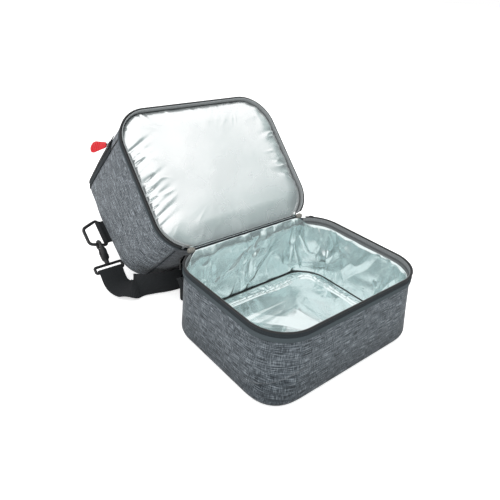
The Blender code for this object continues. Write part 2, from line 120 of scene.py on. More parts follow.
def planOutline(share):
    # rounded rectangle by the share of the way round, anticlockwise from the middle of the back
    # x and y are a corner's centre plus the radius times the outward direction, which is given too
    turn = np.linspace(0, math.pi / 2, 33)
    signs = np.array([(-1, 1), (-1, -1), (1, -1), (1, 1)])
    centres = signs * np.array([straightX, straightY])
    angle = np.concatenate([turn + math.pi / 2 * (k + 1) for k in range(4)])
    out = np.stack([np.cos(angle), np.sin(angle)], 1)
    first, firstOut = np.array([[0.0, straightY]]), np.array([[0.0, 1.0]])
    middle = np.concatenate([first, np.repeat(centres, len(turn), axis=0), first])
    out = np.concatenate([firstOut, out, firstOut])
    place = middle + out * cornerRadius
    way = wayAlong(place)
    at = np.mod(share, 1.0) * way[-1]
    x, y, nx, ny = (np.interp(at, way, column) for column in (*place.T, *out.T))
    size = np.hypot(nx, ny)
    return x, y, nx / size, ny / size


def resampled(path, count, closed=False):
    # even points along a path, read between its own points by distance in space
    path = np.concatenate([path, path[:1]]) if closed else path
    way = wayAlong(path[:, :3])
    at = np.linspace(0, way[-1], count, endpoint=not closed)
    return np.stack([np.interp(at, way, column) for column in path.T], 1)


def smoothPath(points, count):
    # even points on the Catmull-Rom curve through the given ones, each end carried on in a straight line
    points = np.asarray(points, float)
    points = np.concatenate([2 * points[:1] - points[1:2], points, 2 * points[-1:] - points[-2:-1]])
    t = np.linspace(0, 1, 24, endpoint=False)[:, None, None]
    a, b, c, d = points[:-3], points[1:-2], points[2:-1], points[3:]
    square, cube = 2 * a - 5 * b + 4 * c - d, 3 * b - a - 3 * c + d
    run = 0.5 * (2 * b + (c - a) * t + square * t ** 2 + cube * t ** 3)
    run = run.transpose(1, 0, 2).reshape(-1, points.shape[1])
    return resampled(np.concatenate([run, points[-2:-1]]), count)


def filletPath(points, radius, closed=True):
    # polygon with each corner replaced by a quadratic curve between points a radius away from it
    points = np.asarray(points, float)
    count = len(points)
    t = np.linspace(0, 1, 7)[:, None]
    path = []
    for i, here in enumerate(points):
        if not closed and i in (0, count - 1):
            path.append(here[None])
            continue
        a = here + unit(points[i - 1] - here) * radius
        b = here + unit(points[(i + 1) % count] - here) * radius
        path.append((1 - t) ** 2 * a + 2 * t * (1 - t) * here + t ** 2 * b)
    return np.concatenate(path)


def inFrame(points, origin, axes):
    # origin plus each coordinate times its direction
    return np.asarray(origin) + np.asarray(points) @ np.asarray(axes)


def unitCircle(count):
    # even points on a circle of radius one: cosine and sine
    angle = np.linspace(0, 2 * math.pi, count, endpoint=False)
    return np.stack([np.cos(angle), np.sin(angle)], 1)


def slab(outLow, outHigh, upLow, upHigh, bevel):
    # rounded rectangle of (out, up) points: each corner's centre plus the bevel times a quarter turn
    turn = np.linspace(0, math.pi / 2, 4)
    corners = ((outHigh - bevel, upHigh - bevel), (outLow + bevel, upHigh - bevel),
               (outLow + bevel, upLow + bevel), (outHigh - bevel, upLow + bevel))
    points = []
    for k, centre in enumerate(corners):
        angle = turn + k * math.pi / 2
        points.append(np.array(centre) + bevel * np.stack([np.cos(angle), np.sin(angle)], 1))
    return np.concatenate(points)


def flatSection(width, thick, bevel):
    # rounded rectangle about the middle: half of each size each way
    return slab(-width / 2, width / 2, -thick / 2, thick / 2, bevel)


def softNoise(p, q, seed, wrap=64):
    # value noise: random numbers on a lattice, eased between its points; p repeats after wrap
    table = np.random.default_rng(seed).uniform(-1, 1, (wrap, 64))
    i, j = np.floor(p).astype(int), np.floor(q).astype(int)
    f, g = p - i, q - j
    f, g = f * f * (3 - 2 * f), g * g * (3 - 2 * g)
    i0, i1, j0, j1 = i % wrap, (i + 1) % wrap, j % 64, (j + 1) % 64
    near = table[i0, j0] * (1 - f) + table[i1, j0] * f
    far = table[i0, j1] * (1 - f) + table[i1, j1] * f
    return near * (1 - g) + far * g


def creaseNoise(p, q, seed, wrap=64):
    # sharp ridges where the noise passes zero: one less twice its size
    return 1 - 2 * np.abs(softNoise(p, q, seed, wrap))


def lineNoise(p, q, seed, sharp, wrap=64):
    # thin crests where the noise passes zero: falls away as an exponential of its size over sharp
    return np.exp(-np.abs(softNoise(p, q, seed, wrap)) / sharp)


# meshes
def meshObject(name, points, faces, material, uv=None):
    # smooth mesh of the given points and faces, with a UV pair for each corner of each face
    mesh = bpy.data.meshes.new(name)
    mesh.from_pydata(np.asarray(points, float).reshape(-1, 3).tolist(), [], faces)
    if uv is not None:
        layer = mesh.uv_layers.new(name="cloth")
        layer.data.foreach_set("uv", np.asarray(uv, np.float32).ravel())
    mesh.materials.append(material)
    mesh.shade_smooth()
    mesh.update()
    made = bpy.data.objects.new(name, mesh)
    bpy.context.scene.collection.objects.link(made)
    return made


def gridObject(name, points, material, closedU=False, closedV=False, uv=None, pole=None):
    # skin of quads between neighbours in the rows and columns of a grid; closedU joins the last column to
    # the first and closedV the last row; pole, given only with uv, closes the last row to one point
    rows, columns = points.shape[:2]
    spans = np.arange(rows if closedV else rows - 1), np.arange(columns if closedU else columns - 1)
    r, c = (index.ravel() for index in np.meshgrid(*spans, indexing="ij"))
    r1, c1 = (r + 1) % rows, (c + 1) % columns
    faces = np.stack([r * columns + c, r * columns + c1, r1 * columns + c1, r1 * columns + c], 1).tolist()
    flat = points.reshape(-1, 3)
    loops = None
    if uv is not None:
        loops = np.stack([uv[r, c], uv[r, c + 1], uv[r + 1, c + 1], uv[r + 1, c]], 1).reshape(-1, 2)
    if pole is not None:
        flat = np.concatenate([flat, [pole]])
        last = (rows - 1) * columns
        c = np.arange(columns)
        faces += np.stack([last + c, last + (c + 1) % columns, np.full(columns, len(flat) - 1)], 1).tolist()
        middle = np.broadcast_to(uv[-1].mean(0), (columns, 2))
        loops = np.concatenate([loops, np.stack([uv[-1, c], uv[-1, c + 1], middle], 1).reshape(-1, 2)])
    return meshObject(name, flat, faces, material, loops)


def gridUV(along, across):
    # UV pair of each grid point, from values for its rows, its columns or the whole grid
    return np.stack(np.broadcast_arrays(along, across), -1)


def turnedOut(made, caps=False):
    # open ends filled flat where caps are asked for, then all normals made to agree and point out
    work = bmesh.new()
    work.from_mesh(made.data)
    if caps:
        bmesh.ops.holes_fill(work, edges=[edge for edge in work.edges if edge.is_boundary])
    bmesh.ops.recalc_face_normals(work, faces=work.faces)
    work.to_mesh(made.data)
    work.free()
    return made


def facing(made, index, way):
    # turned over as a whole when the numbered face looks away from the given direction
    if made.data.polygons[index].normal @ Vector(way) < 0:
        made.data.flip_normals()
    return made


def moved(made, places):
    # vertices put at new places
    made.data.vertices.foreach_set("co", places.astype(np.float32).ravel())
    made.data.update()
    return made


def thicken(made, thickness, offset=-1.0, inner=0, rim=0):
    # second skin at an even distance along the normals; inner and rim count on from a face's own material
    modifier = made.modifiers.new("wall", "SOLIDIFY")
    modifier.thickness = thickness
    modifier.offset = offset
    modifier.material_offset = inner
    modifier.material_offset_rim = rim
    return made


def bevelled(made, width, segments):
    # sharp edges rounded over by the width
    edge = made.modifiers.new("edge", "BEVEL")
    edge.width = width
    edge.segments = segments
    edge.limit_method = "ANGLE"
    return made


def sweep(name, centres, sides, ups, profile, material, closed=False):
    # profile of (side, up) points carried along a path: centre plus side and up times the two directions
    centres, sides, ups, profile = (np.asarray(values, float) for values in (centres, sides, ups, profile))
    if profile.ndim == 2:
        profile = np.broadcast_to(profile, (len(centres), *profile.shape))
    points = centres[:, None] + profile[..., :1] * sides[:, None] + profile[..., 1:] * ups[:, None]
    way = wayAlong(centres)
    way = np.append(way, 2 * way[-1] - way[-2])
    uv = gridUV(way[:, None], girthOf(profile[0])[None])
    made = gridObject(name, points, material, closedU=True, closedV=closed, uv=uv)
    return turnedOut(made, caps=not closed)


def tubeFrames(path, closed):
    # directions square to a path: each side is the one before it, less its part along the path
    ahead = unit(np.roll(path, -1, 0) - np.roll(path, 1, 0) if closed else np.gradient(path, axis=0))
    slantWay = (0.31, 0.57, 0.76)
    sides = [unit(np.cross(ahead[0], slantWay))]
    for direction in ahead[1:]:
        sides.append(unit(sides[-1] - direction * (sides[-1] @ direction)))
    sides = np.array(sides)
    return sides, np.cross(ahead, sides)


def tube(name, path, radius, material, closed=False, count=96, sides=12):
    # circle carried along a path without twist; the radius may differ from point to point
    path = resampled(np.asarray(path, float), count, closed)
    sideways, upwards = tubeFrames(path, closed)
    profile = unitCircle(sides)[None] * np.broadcast_to(radius, (count,))[:, None, None]
    return sweep(name, path, sideways, upwards, profile, material, closed)


def boxPiece(name, centre, axes, sizes, bevel, material):
    # box with rounded edges: the centre plus or minus half of each size along its direction
    signs = np.array([(a, b, c) for a in (-1, 1) for b in (-1, 1) for c in (-1, 1)], float)
    faces = [(0, 1, 3, 2), (4, 6, 7, 5), (0, 4, 5, 1), (2, 3, 7, 6), (0, 2, 6, 4), (1, 5, 7, 3)]
    made = meshObject(name, inFrame(signs * np.asarray(sizes) / 2, centre, axes), faces, material)
    return bevelled(turnedOut(made), bevel, 3)


def platePiece(name, rim, thickness, origin, axes, bevel, material):
    # flat plate: its rim in the first two directions, half its thickness each way along the third
    count = len(rim)
    layers = [np.concatenate([rim, np.full((count, 1), h)], 1) for h in (-thickness / 2, thickness / 2)]
    i = np.arange(count)
    faces = np.stack([i, (i + 1) % count, count + (i + 1) % count, count + i], 1).tolist()
    faces += [list(range(count))[::-1], list(range(count, 2 * count))]
    made = meshObject(name, inFrame(np.concatenate(layers), origin, axes), faces, material)
    return bevelled(turnedOut(made), bevel, 2)


def onWall(share, out, up, onLid):
    # points standing out from the plan by out, at height up, on the lower compartment or on the lid
    x, y, nx, ny = (values[:, None] for values in planOutline(share))
    px, py = x + nx * out, y + ny * out
    up = np.broadcast_to(up, px.shape)
    if onLid:
        return lidPoint(px, bagBack - py, up)
    return np.stack([px, py, up], -1)


def rimSweep(name, onLid, start, end, count, profile, material):
    # closed profile of (out, up) points carried along the plan between two shares of it
    share = np.linspace(start, end, count)
    profile = np.broadcast_to(profile, (count, *np.shape(profile)[-2:]))
    points = onWall(share, profile[..., 0], profile[..., 1], onLid)
    uv = gridUV((share * outlineLength)[:, None], girthOf(profile[0])[None])
    return turnedOut(gridObject(name, points, material, closedU=True, uv=uv), caps=True)


def roundedGrid(columns, rows, inset):
    # even grid filling the plan: a rectangle whose points are drawn in towards the corner arcs by the cube
    # of their nearness to the edge, which is given too
    halfX, halfY, radius = bagWidth / 2 - inset, bagDepth / 2 - inset, cornerRadius - inset
    u, v = np.meshgrid(np.linspace(-1, 1, columns), np.linspace(-1, 1, rows))
    edge = np.maximum(np.abs(u), np.abs(v))
    scale = np.where(edge > 1e-9, 1 / np.maximum(edge, 1e-9), 0)
    bx, by = np.abs(u * scale) * halfX, np.abs(v * scale) * halfY
    cx, cy = halfX - radius, halfY - radius
    # along the ray from the middle to the rectangle's edge, the share that lies inside the corner's arc
    a, b, c = bx ** 2 + by ** 2, bx * cx + by * cy, cx ** 2 + cy ** 2 - radius ** 2
    hit = (b + np.sqrt(np.maximum(b * b - a * c, 0))) / a
    draw = np.where((bx > cx) & (by > cy) & (hit < 1), hit, 1.0)
    pull = 1 + (draw - 1) * edge ** 3
    return u * halfX * pull, v * halfY * pull, edge


def gapToEdge(px, py, inset):
    # distance to the plan's inset edge: the radius less the distance past the corner's centre
    halfX, halfY, radius = bagWidth / 2 - inset, bagDepth / 2 - inset, cornerRadius - inset
    qx, qy = np.abs(px) - (halfX - radius), np.abs(py) - (halfY - radius)
    return radius - np.hypot(np.maximum(qx, 0), np.maximum(qy, 0)) - np.minimum(np.maximum(qx, qy), 0)


# materials
def newMaterial(name, roughness, metallic=0.0):
    # plain material with its node tree and its shader
    made = bpy.data.materials.new(name)
    made.use_nodes = True
    tree = made.node_tree
    shader = tree.nodes["Principled BSDF"]
    shader.inputs["Roughness"].default_value = roughness
    shader.inputs["Metallic"].default_value = metallic
    return made, tree, shader


def clothPlace(tree):
    # place on the cloth, in metres, from the UV map
    uv = tree.nodes.new("ShaderNodeUVMap")
    uv.uv_map = "cloth"
    return uv.outputs["UV"]


def objectPlace(tree):
    # place in the piece's own space, in metres
    return tree.nodes.new("ShaderNodeTexCoord").outputs["Object"]


def noiseOf(tree, vector, scale, detail=2.0):
    # noise at the scale: one number, or two for a place that is stretched by them first
    if isinstance(scale, tuple):
        mapping = tree.nodes.new("ShaderNodeMapping")
        mapping.inputs["Scale"].default_value = (*scale, 1.0)
        tree.links.new(vector, mapping.inputs["Vector"])
        vector, scale = mapping.outputs["Vector"], 1.0
    made = tree.nodes.new("ShaderNodeTexNoise")
    made.inputs["Scale"].default_value = scale
    made.inputs["Detail"].default_value = detail
    made.inputs["Roughness"].default_value = 0.5
    tree.links.new(vector, made.inputs["Vector"])
    return made.outputs["Fac"]


def ramp(tree, fac, stops):
    # colour read from straight lines between the stops
    made = tree.nodes.new("ShaderNodeValToRGB")
    items = made.color_ramp.elements
    while len(items) < len(stops):
        items.new(0.5)
    for item, (place, colour) in zip(items, stops):
        item.position = place
        item.color = (*colour, 1.0)
    tree.links.new(fac, made.inputs["Fac"])
    return made.outputs["Color"]


def mathOf(tree, operation, a, b):
    # one sum on two values, each a number or a socket
    made = tree.nodes.new("ShaderNodeMath")
    made.operation = operation
    for socket, value in zip(made.inputs, (a, b)):
        if isinstance(value, (int, float)):
            socket.default_value = value
        else:
            tree.links.new(value, socket)
    return made.outputs[0]


def weighted(tree, *pairs):
    # sum of each value times its weight
    parts = [mathOf(tree, "MULTIPLY", value, weight) for value, weight in pairs]
    total = parts[0]
    for part in parts[1:]:
        total = mathOf(tree, "ADD", total, part)
    return total


def bumpOf(tree, shader, height, strength, distance):
    # normals tilted by the slope of the height
    bump = tree.nodes.new("ShaderNodeBump")
    bump.inputs["Strength"].default_value = strength
    bump.inputs["Distance"].default_value = distance
    tree.links.new(height, bump.inputs["Height"])
    tree.links.new(bump.outputs["Normal"], shader.inputs["Normal"])


# the yarn settings also hold the height that the painted shade near the foot reaches up to
heatherYarn = dict(warp=(1500, 110), weft=(58, 1450), cloud=(60, 60), warpShare=0.40, weftShare=0.60,
                   cloudShare=0.06, paintedShadeHeight=0.050, darkAt=0.375, midAt=0.50, lightAt=0.605)


def heatherCloth(name, dark, light, paintedFootShade=0.0):
    # slubbed yarns: thin streaks along both thread directions, added by their shares and read by a ramp
    made, tree, shader = newMaterial(name, 0.92)
    yarn = heatherYarn
    warp, weft, cloud = (noiseOf(tree, clothPlace(tree), yarn[key]) for key in ("warp", "weft", "cloud"))
    cloud = mathOf(tree, "SUBTRACT", cloud, 0.5)
    mixed = weighted(tree, (warp, yarn["warpShare"]), (weft, yarn["weftShare"]), (cloud, yarn["cloudShare"]))
    if paintedFootShade:
        # painted shade near the foot: darker yarns below a set height, in proportion to the height that is
        # missing
        parts = tree.nodes.new("ShaderNodeSeparateXYZ")
        tree.links.new(objectPlace(tree), parts.inputs["Vector"])
        missing = mathOf(tree, "SUBTRACT", yarn["paintedShadeHeight"], parts.outputs["Z"])
        missing = mathOf(tree, "MAXIMUM", missing, 0.0)
        shade = mathOf(tree, "MULTIPLY", missing, paintedFootShade / yarn["paintedShadeHeight"])
        mixed = mathOf(tree, "SUBTRACT", mixed, shade)
    mid = tuple((a * b) ** 0.5 for a, b in zip(dark, light))
    colour = ramp(tree, mixed, ((yarn["darkAt"], dark), (yarn["midAt"], mid), (yarn["lightAt"], light)))
    tree.links.new(colour, shader.inputs["Base Color"])
    shader.inputs["Sheen Weight"].default_value = 0.15
    shader.inputs["Specular IOR Level"].default_value = 0.2
    bumpOf(tree, shader, mixed, 0.6, 0.0006)
    return made


def plainCloth(name, colour, spread, ribs=700.0):
    # tape or webbing: half fine ribs across the UV's length and half noise, for the bump and the dye
    made, tree, shader = newMaterial(name, 0.9)
    place = clothPlace(tree)
    wave = tree.nodes.new("ShaderNodeTexWave")
    wave.bands_direction = "X"
    wave.inputs["Scale"].default_value = ribs / 6.28
    tree.links.new(place, wave.inputs["Vector"])
    height = weighted(tree, (wave.outputs["Fac"], 0.5), (noiseOf(tree, place, (400, 900)), 0.5))
    low, high = (tuple(c * share for c in colour) for share in (1 - spread, 1 + spread))
    tree.links.new(ramp(tree, height, ((0.2, low), (0.8, high))), shader.inputs["Base Color"])
    shader.inputs["Specular IOR Level"].default_value = 0.25
    bumpOf(tree, shader, height, 0.5, 0.0004)
    return made


def silverFoil(name, tint, roughness, crinkle):
    # metal-faced film: a bright tint, fine and broad noise added for the bump, and broad noise for the gloss
    made, tree, shader = newMaterial(name, roughness, 0.92)
    fine = noiseOf(tree, objectPlace(tree), 110.0, 3.0)
    broad = noiseOf(tree, objectPlace(tree), 26.0)
    shader.inputs["Base Color"].default_value = (*tint, 1)
    gloss = ramp(tree, broad, ((0.3, (roughness * 0.75,) * 3), (0.7, (roughness * 1.5,) * 3)))
    tree.links.new(gloss, shader.inputs["Roughness"])
    bumpOf(tree, shader, weighted(tree, (fine, crinkle), (broad, 1.0)), 0.08 + 0.6 * crinkle, 0.0012)
    return made


def mouldedPlastic(name, colour, roughness):
    # plastic or rubber with a faint grain in its tone and its bump
    made, tree, shader = newMaterial(name, roughness)
    grain = noiseOf(tree, objectPlace(tree), 1400.0)
    low, high = (tuple(c * share for c in colour) for share in (0.8, 1.3))
    tree.links.new(ramp(tree, grain, ((0.3, low), (0.7, high))), shader.inputs["Base Color"])
    bumpOf(tree, shader, grain, 0.12, 0.0002)
    return made


heather = heatherCloth("heatherCloth", (0.017, 0.021, 0.025), (0.355, 0.392, 0.428))
# the lower wall's cloth: a darker copy of the same heather, painted shade, with more painted shade towards
# the foot
lowerHeather = heatherCloth("lowerHeather", (0.015, 0.019, 0.023), (0.252, 0.284, 0.313), paintedFootShade=0.060)
# darker copy of the same heather for the lid's back panel: painted shade
shadedBackHeather = heatherCloth("shadedBackHeather", (0.025, 0.028, 0.032), (0.20, 0.215, 0.235))
charcoal = plainCloth("charcoalTape", (0.024, 0.030, 0.034), 0.12)
hemCloth = plainCloth("hemCloth", (0.064, 0.079, 0.087), 0.10, ribs=2600.0)
innerTape = plainCloth("greyTape", (0.23, 0.24, 0.245), 0.15)
lidTape = plainCloth("lidTape", (0.33, 0.345, 0.35), 0.12)
lidTapeDark = plainCloth("lidTapeDark", (0.24, 0.25, 0.255), 0.12)
innerTapeDark = plainCloth("greyTapeDark", (0.125, 0.132, 0.136), 0.15)
darkCloth = plainCloth("darkCloth", (0.035, 0.039, 0.042), 0.3)
seamGrey = plainCloth("seamGrey", (0.06, 0.068, 0.068), 0.2)
patchCloth = plainCloth("patchCloth", (0.235, 0.225, 0.205), 0.25)
webbing = plainCloth("blackWebbing", (0.022, 0.024, 0.026), 0.5, ribs=1200.0)
foil = silverFoil("silverFoil", (0.80, 0.888, 0.89), 0.165, 0.34)
padFoil = silverFoil("padFoil", (0.945, 0.965, 0.965), 0.23, 0.20)
plastic = mouldedPlastic("blackPlastic", (0.012, 0.012, 0.013), 0.38)
coilBlack = mouldedPlastic("coilBlack", (0.010, 0.010, 0.011), 0.45)
redRubber = mouldedPlastic("redRubber", (0.60, 0.006, 0.014), 0.45)
print("materials made")


def finishPiece(obj, body, slot, *nodes):
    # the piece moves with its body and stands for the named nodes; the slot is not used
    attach(obj, body)
    if nodes:
        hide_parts(*nodes)
    return obj


# lower compartment: fabric wall that rolls under into the base
lowerShell = dict(columns=360, rows=48, topDrop=0.0028, footRadius=0.009, bow=0.0018, ripple=0.0009,
                  flare=0.0040, cornerFlare=0.0050, skin=0.0012, darkBelow=0.0042)
lowerBuckle = dict(x=-0.122, y=-0.094, reach=0.024, height=0.034, slantX=0.25, slantY=0.35,
                   ridge=0.0030, ridgeUp=0.007, ridgeHalf=0.006, groove=0.0050, grooveHalf=0.0034)


def buckleOf(size, x, y, z):
    # the cloth buckles once at the front left corner: a ridge above a groove, each a bell curve of the
    # height over a slanting line, fading with the distance from the corner
    dx, dy = (x - size["x"])[None], (y - size["y"])[None]
    near = np.exp(-(dx ** 2 + dy ** 2) / size["reach"] ** 2)
    level = z[:, None] - size["height"] - size["slantX"] * dx + size["slantY"] * dy
    ridge = size["ridge"] * np.exp(-((level - size["ridgeUp"]) / size["ridgeHalf"]) ** 2)
    return near * (ridge - size["groove"] * np.exp(-(level / size["grooveHalf"]) ** 2))


def makeLowerShell(size):
    # wall over a quarter-round foot, pushed out by bow, ripple, flare and buckle; base of rings to the centre
    columns = size["columns"]
    share = np.linspace(0, 1, columns, endpoint=False)
    x, y, nx, ny = planOutline(share)
    top, foot = rimHeight - size["topDrop"], size["footRadius"]
    turn = np.linspace(0, math.pi / 2, 8)[1:]
    inset = np.concatenate([np.zeros(size["rows"]), foot * (1 - np.cos(turn))])
    z = np.concatenate([np.linspace(top, foot, size["rows"]), foot * (1 - np.sin(turn))])
    up = np.clip((z - foot) / (top - foot), 0, 1)
    # the bow fades towards the corners: a running mean of where the wall is straight
    flat = (np.abs(nx) > 0.98) | (np.abs(ny) > 0.98)
    straight = np.convolve(np.tile(flat, 3), np.ones(31) / 31, "same")[columns:2 * columns]
    arch = np.sin(math.pi * up * 0.9)[:, None]
    bow = size["bow"] * arch * straight[None] ** 2
    ripple = size["ripple"] * softNoise(share[None] * 24, up[:, None] * 3, 4, 24) * arch ** 0.5
    # the wall spreads towards the foot, most at the front corners
    spread = size["flare"] + size["cornerFlare"] * (2 * nx * np.minimum(ny, 0)) ** 2
    flare = (1 - up[:, None]) ** 1.6 * spread[None]
    push = bow + ripple + flare + buckleOf(lowerBuckle, x, y, z) - inset[:, None]
    wall = np.stack([x + nx * push, y + ny * push, np.broadcast_to(z[:, None], push.shape)], -1)
    rings = np.linspace(1, 0.04, 12)[1:]
    base = wall[-1][None] * np.stack([rings, rings, np.ones_like(rings)], 1)[:, None]
    around, down = np.linspace(0, outlineLength, columns + 1), wayAlong(np.stack([inset, z], 1))
    wallUV = gridUV(around[None], down[:, None])
    baseUV = np.concatenate([base, base[:, :1]], 1)[..., :2]
    points, uv = np.concatenate([wall, base]), np.concatenate([wallUV, baseUV])
    # the wall takes the darker heather, which carries painted shade
    made = turnedOut(gridObject("lowerFabric", points, lowerHeather, closedU=True, uv=uv, pole=(0, 0, 0)))
    facing(made, 0, (nx[0], ny[0], 0))
    made.data.materials.append(charcoal)
    for face in made.data.polygons:
        face.material_index = int(face.center.z < size["darkBelow"])
    return thicken(made, size["skin"])


finishPiece(makeLowerShell(lowerShell), "lower", "heather_fabric",
            "lower_outer_wall", "lower_base_panel", "lower_wall_foam", "lower_base_foam")

# zip bands and coils along the rim, the same way on both compartments
zipGrid = dict(bandColumns=260, coilColumns=2400, coilSides=10, coilThin=0.72)


def coilSwell(way):
    # a coil is thin between its turns and full at each: a sine's size, once each pitch
    return zipGrid["coilThin"] + (1 - zipGrid["coilThin"]) * np.abs(np.sin(math.pi * way / zipPitch))


def zipBand(name, size, onLid, material, *nodes):
    # flat band along the zip, reaching past its ends by the overlap, which is a share of the outline
    start, end = zipStart - size["overlap"], zipEnd + size["overlap"]
    section = slab(*size["out"], *size["up"], size["bevel"])
    made = rimSweep(name, onLid, start, end, zipGrid["bandColumns"], section, material)
    return finishPiece(made, "upper" if onLid else "lower", "charcoal_fabric", *nodes)


def zipCoil(name, size, onLid, node):
    # coil along the zip: an ellipse times the swell at each place
    count = zipGrid["coilColumns"]
    swell = coilSwell(np.linspace(0, zipLength, count))[:, None, None]
    loop = unitCircle(zipGrid["coilSides"])[None] * np.array([size["wide"], size["high"]])
    profile = np.array([size["out"], size["up"]]) + swell * loop
    made = rimSweep(name, onLid, zipStart, zipEnd, count, profile, coilBlack)
    return finishPiece(made, "upper" if onLid else "lower", "zip_coil", node)


lowerBand = dict(out=(0.0001, 0.0013), up=(0.0988, 0.1046), bevel=0.0004, overlap=0.0)
lowerHem = dict(out=(0.0004, 0.0021), up=(0.0922, lowerBand["up"][0]), bevel=0.0006, overlap=0.0)
lowerCoil = dict(out=0.0004, up=0.1053, wide=0.0017, high=0.00105)
lowerInnerTape = dict(out=(-0.0023, -0.0013), up=(0.0932, 0.1049), bevel=0.0004, overlap=0.006)
lowerInnerBinding = dict(out=(-0.0028, -0.0020), up=(0.0968, 0.1000), bevel=0.0003, overlap=0.006)
zipBand("lowerBand", lowerBand, False, charcoal, "lower_zip_tape")
zipBand("lowerHem", lowerHem, False, hemCloth)
zipCoil("lowerCoil", lowerCoil, False, "lower_zip_coil")
zipBand("lowerInnerTape", lowerInnerTape, False, innerTape)
zipBand("lowerInnerBinding", lowerInnerBinding, False, innerTapeDark)

# lower liner: slack foil walls with a gathered shoulder
lowerLiner = dict(columns=640, rows=74, top=0.0942, crest=0.1062, floor=0.0088, shoulderInset=0.0030,
                  backInset=0.0016, wallInset=0.0088, fold=0.0042, slant=0.0034, fine=0.0021, gather=0.0013,
                  outMost=0.0012, skin=0.0004, lap=0.0012, fullPleat=0.0040, pleatsFrom=0.05,
                  backFade=(-0.02, 0.008), lipShare=0.30, lip=(-0.001, 0.004), slope=(0.0, 0.075),
                  backLip=(-0.004, 0.011), gatherFade=0.010, gatherFrom=(0.0, 0.003))
# pleats of the back wall: place across, depth, and the distance that it fades over
linerPleats = ((-0.012, 0.0042, 0.020), (0.088, 0.0040, 0.016), (-0.085, 0.0020, 0.016))


def makeLowerLiner(size):
    # wall inside the plan by an inset that grows down from the rim, plus folds, creases and gathers
    columns = size["columns"]
    share = np.linspace(0, 1, columns, endpoint=False)
    x, y, nx, ny = planOutline(share)
    back = 1 - ease(np.minimum(share, 1 - share) - zipStart, *size["backFade"])
    top = size["top"] + (size["crest"] - size["top"]) * back
    down = np.linspace(0, 1, size["rows"]) ** 1.15
    z = top[None] + (size["floor"] - top[None]) * down[:, None]
    drop = top[None] - z
    front = size["lipShare"] * ease(drop, *size["lip"]) + (1 - size["lipShare"]) * ease(drop, *size["slope"])
    shoulder = (1 - back[None]) * front + back[None] * ease(drop, *size["backLip"])
    inset = size["shoulderInset"] - size["backInset"] * back[None]
    inset = inset + (size["wallInset"] - size["shoulderInset"]) * shoulder
    # wrinkles: broad upright folds, long slanting creases, fine ones, and small gathers under the rim
    s, v = share[None] * np.ones_like(z), z / rimHeight
    sway = 0.5 * softNoise(s * 12, v * 2.2, 3, 12)
    folds = softNoise(s * 26 + 0.6 * sway + v, v, 11, 1000)
    slants = creaseNoise(s * 30 + 0.5 * sway + v * 2.4, v * 2.2 - s * 9.0, 21, 1000)
    fine = lineNoise(s * 44 - v * 1.8 + sway, v * 2.0 + s * 9.0, 35, 0.10, 1000)
    fine = fine - lineNoise(s * 36 + v * 2.2 + sway, v * 1.6 - s * 6.0, 36, 0.12, 1000)
    gathers = softNoise(s * 130, v * 5, 8, 130) * np.exp(-drop / size["gatherFade"])
    # lapped pleats: a sharp step on one side that fades away on the other
    for across, depth, fade in linerPleats:
        past = x - across
        pleat = np.where(past > 0, np.exp(-past / fade), np.exp(np.minimum(past, 0) / size["lap"]))
        pleat = pleat * (y > size["pleatsFrom"])
        folds = folds + depth / size["fullPleat"] * pleat[None] * (0.6 + 0.4 * v)
    body = np.sin(math.pi * down)[:, None] ** 0.6
    push = body * (size["fold"] * folds + size["slant"] * slants + size["fine"] * fine)
    push = push + size["gather"] * gathers * ease(drop, *size["gatherFrom"])
    far = inset + np.maximum(push, -size["outMost"])
    wall = np.stack([x - nx * far, y - ny * far, z], -1)
    made = turnedOut(gridObject("lowerFoil", wall, foil, closedU=True))
    return thicken(facing(made, columns * 20, (-nx[0], -ny[0], 0)), size["skin"])


lowerFloor = dict(columns=250, rows=190, inset=lowerLiner["wallInset"] - 0.0004, weldAt=0.017,
                  weldStep=0.0050, weldHalf=0.0014, weldRise=0.0026, rise=0.0012, lump=0.0005, pucker=0.0009,
                  edgeFade=(0.001, 0.012), puckerFrom=(0.004, 0.010), puckerTo=(0.019, 0.024), skin=0.0004,
                  creases=22, creaseSeed=5, creaseAcross=0.11, creaseReach=0.020, creaseSlope=0.055)


def makeLowerFloor(size):
    # level sheet plus lumps, creases and puckers, with two raised welded lines round the tray
    px, py, _ = roundedGrid(size["columns"], size["rows"], size["inset"])
    gap = gapToEdge(px, py, size["inset"])
    past = gap - size["weldAt"]
    weld = np.exp(-(past / size["weldHalf"]) ** 2)
    weld = weld + 0.8 * np.exp(-((past - size["weldStep"]) / size["weldHalf"]) ** 2)
    lumps = softNoise(px * 34 + 40, py * 34 + 40, 51, 997)
    pucker = softNoise(px * 240 + 400, py * 240 + 400, 57, 9973)
    pucker = pucker * ease(gap, *size["puckerFrom"]) * (1 - ease(gap, *size["puckerTo"]))
    # crumpled sheet: straight creases at chance angles, each a tent whose sides slope away for a short reach
    chance = np.random.default_rng(size["creaseSeed"])
    angles = chance.uniform(0, math.pi, size["creases"])
    places = chance.uniform(-size["creaseAcross"], size["creaseAcross"], size["creases"])
    ways = chance.choice([-1, 1], size["creases"])
    crumple = np.zeros_like(px)
    for angle, across, way in zip(angles, places, ways):
        off = np.abs(px * math.cos(angle) + py * math.sin(angle) - across)
        crumple += way * np.minimum(off, size["creaseReach"])
    slack = size["rise"] + size["lump"] * lumps + size["creaseSlope"] * (crumple - crumple.mean())
    z = lowerLiner["floor"] + ease(gap, *size["edgeFade"]) * slack
    z = z + size["pucker"] * pucker + size["weldRise"] * weld
    made = turnedOut(gridObject("lowerFloorFoil", np.stack([px, py, z], -1), foil))
    return thicken(facing(made, 0, roomUp), size["skin"])


floorSeam = dict(columns=300, out=(-0.0100, -0.0084), up=(0.0084, 0.0096), bevel=0.0004)
finishPiece(makeLowerLiner(lowerLiner), "lower", "foil", "lower_liner_wall")
finishPiece(makeLowerFloor(lowerFloor), "lower", "foil", "lower_liner_floor")
seamSection = slab(*floorSeam["out"], *floorSeam["up"], floorSeam["bevel"])
finishPiece(rimSweep("floorSeam", False, 0, 1, floorSeam["columns"], seamSection, seamGrey), "lower", "foil")
print("lower compartment made")

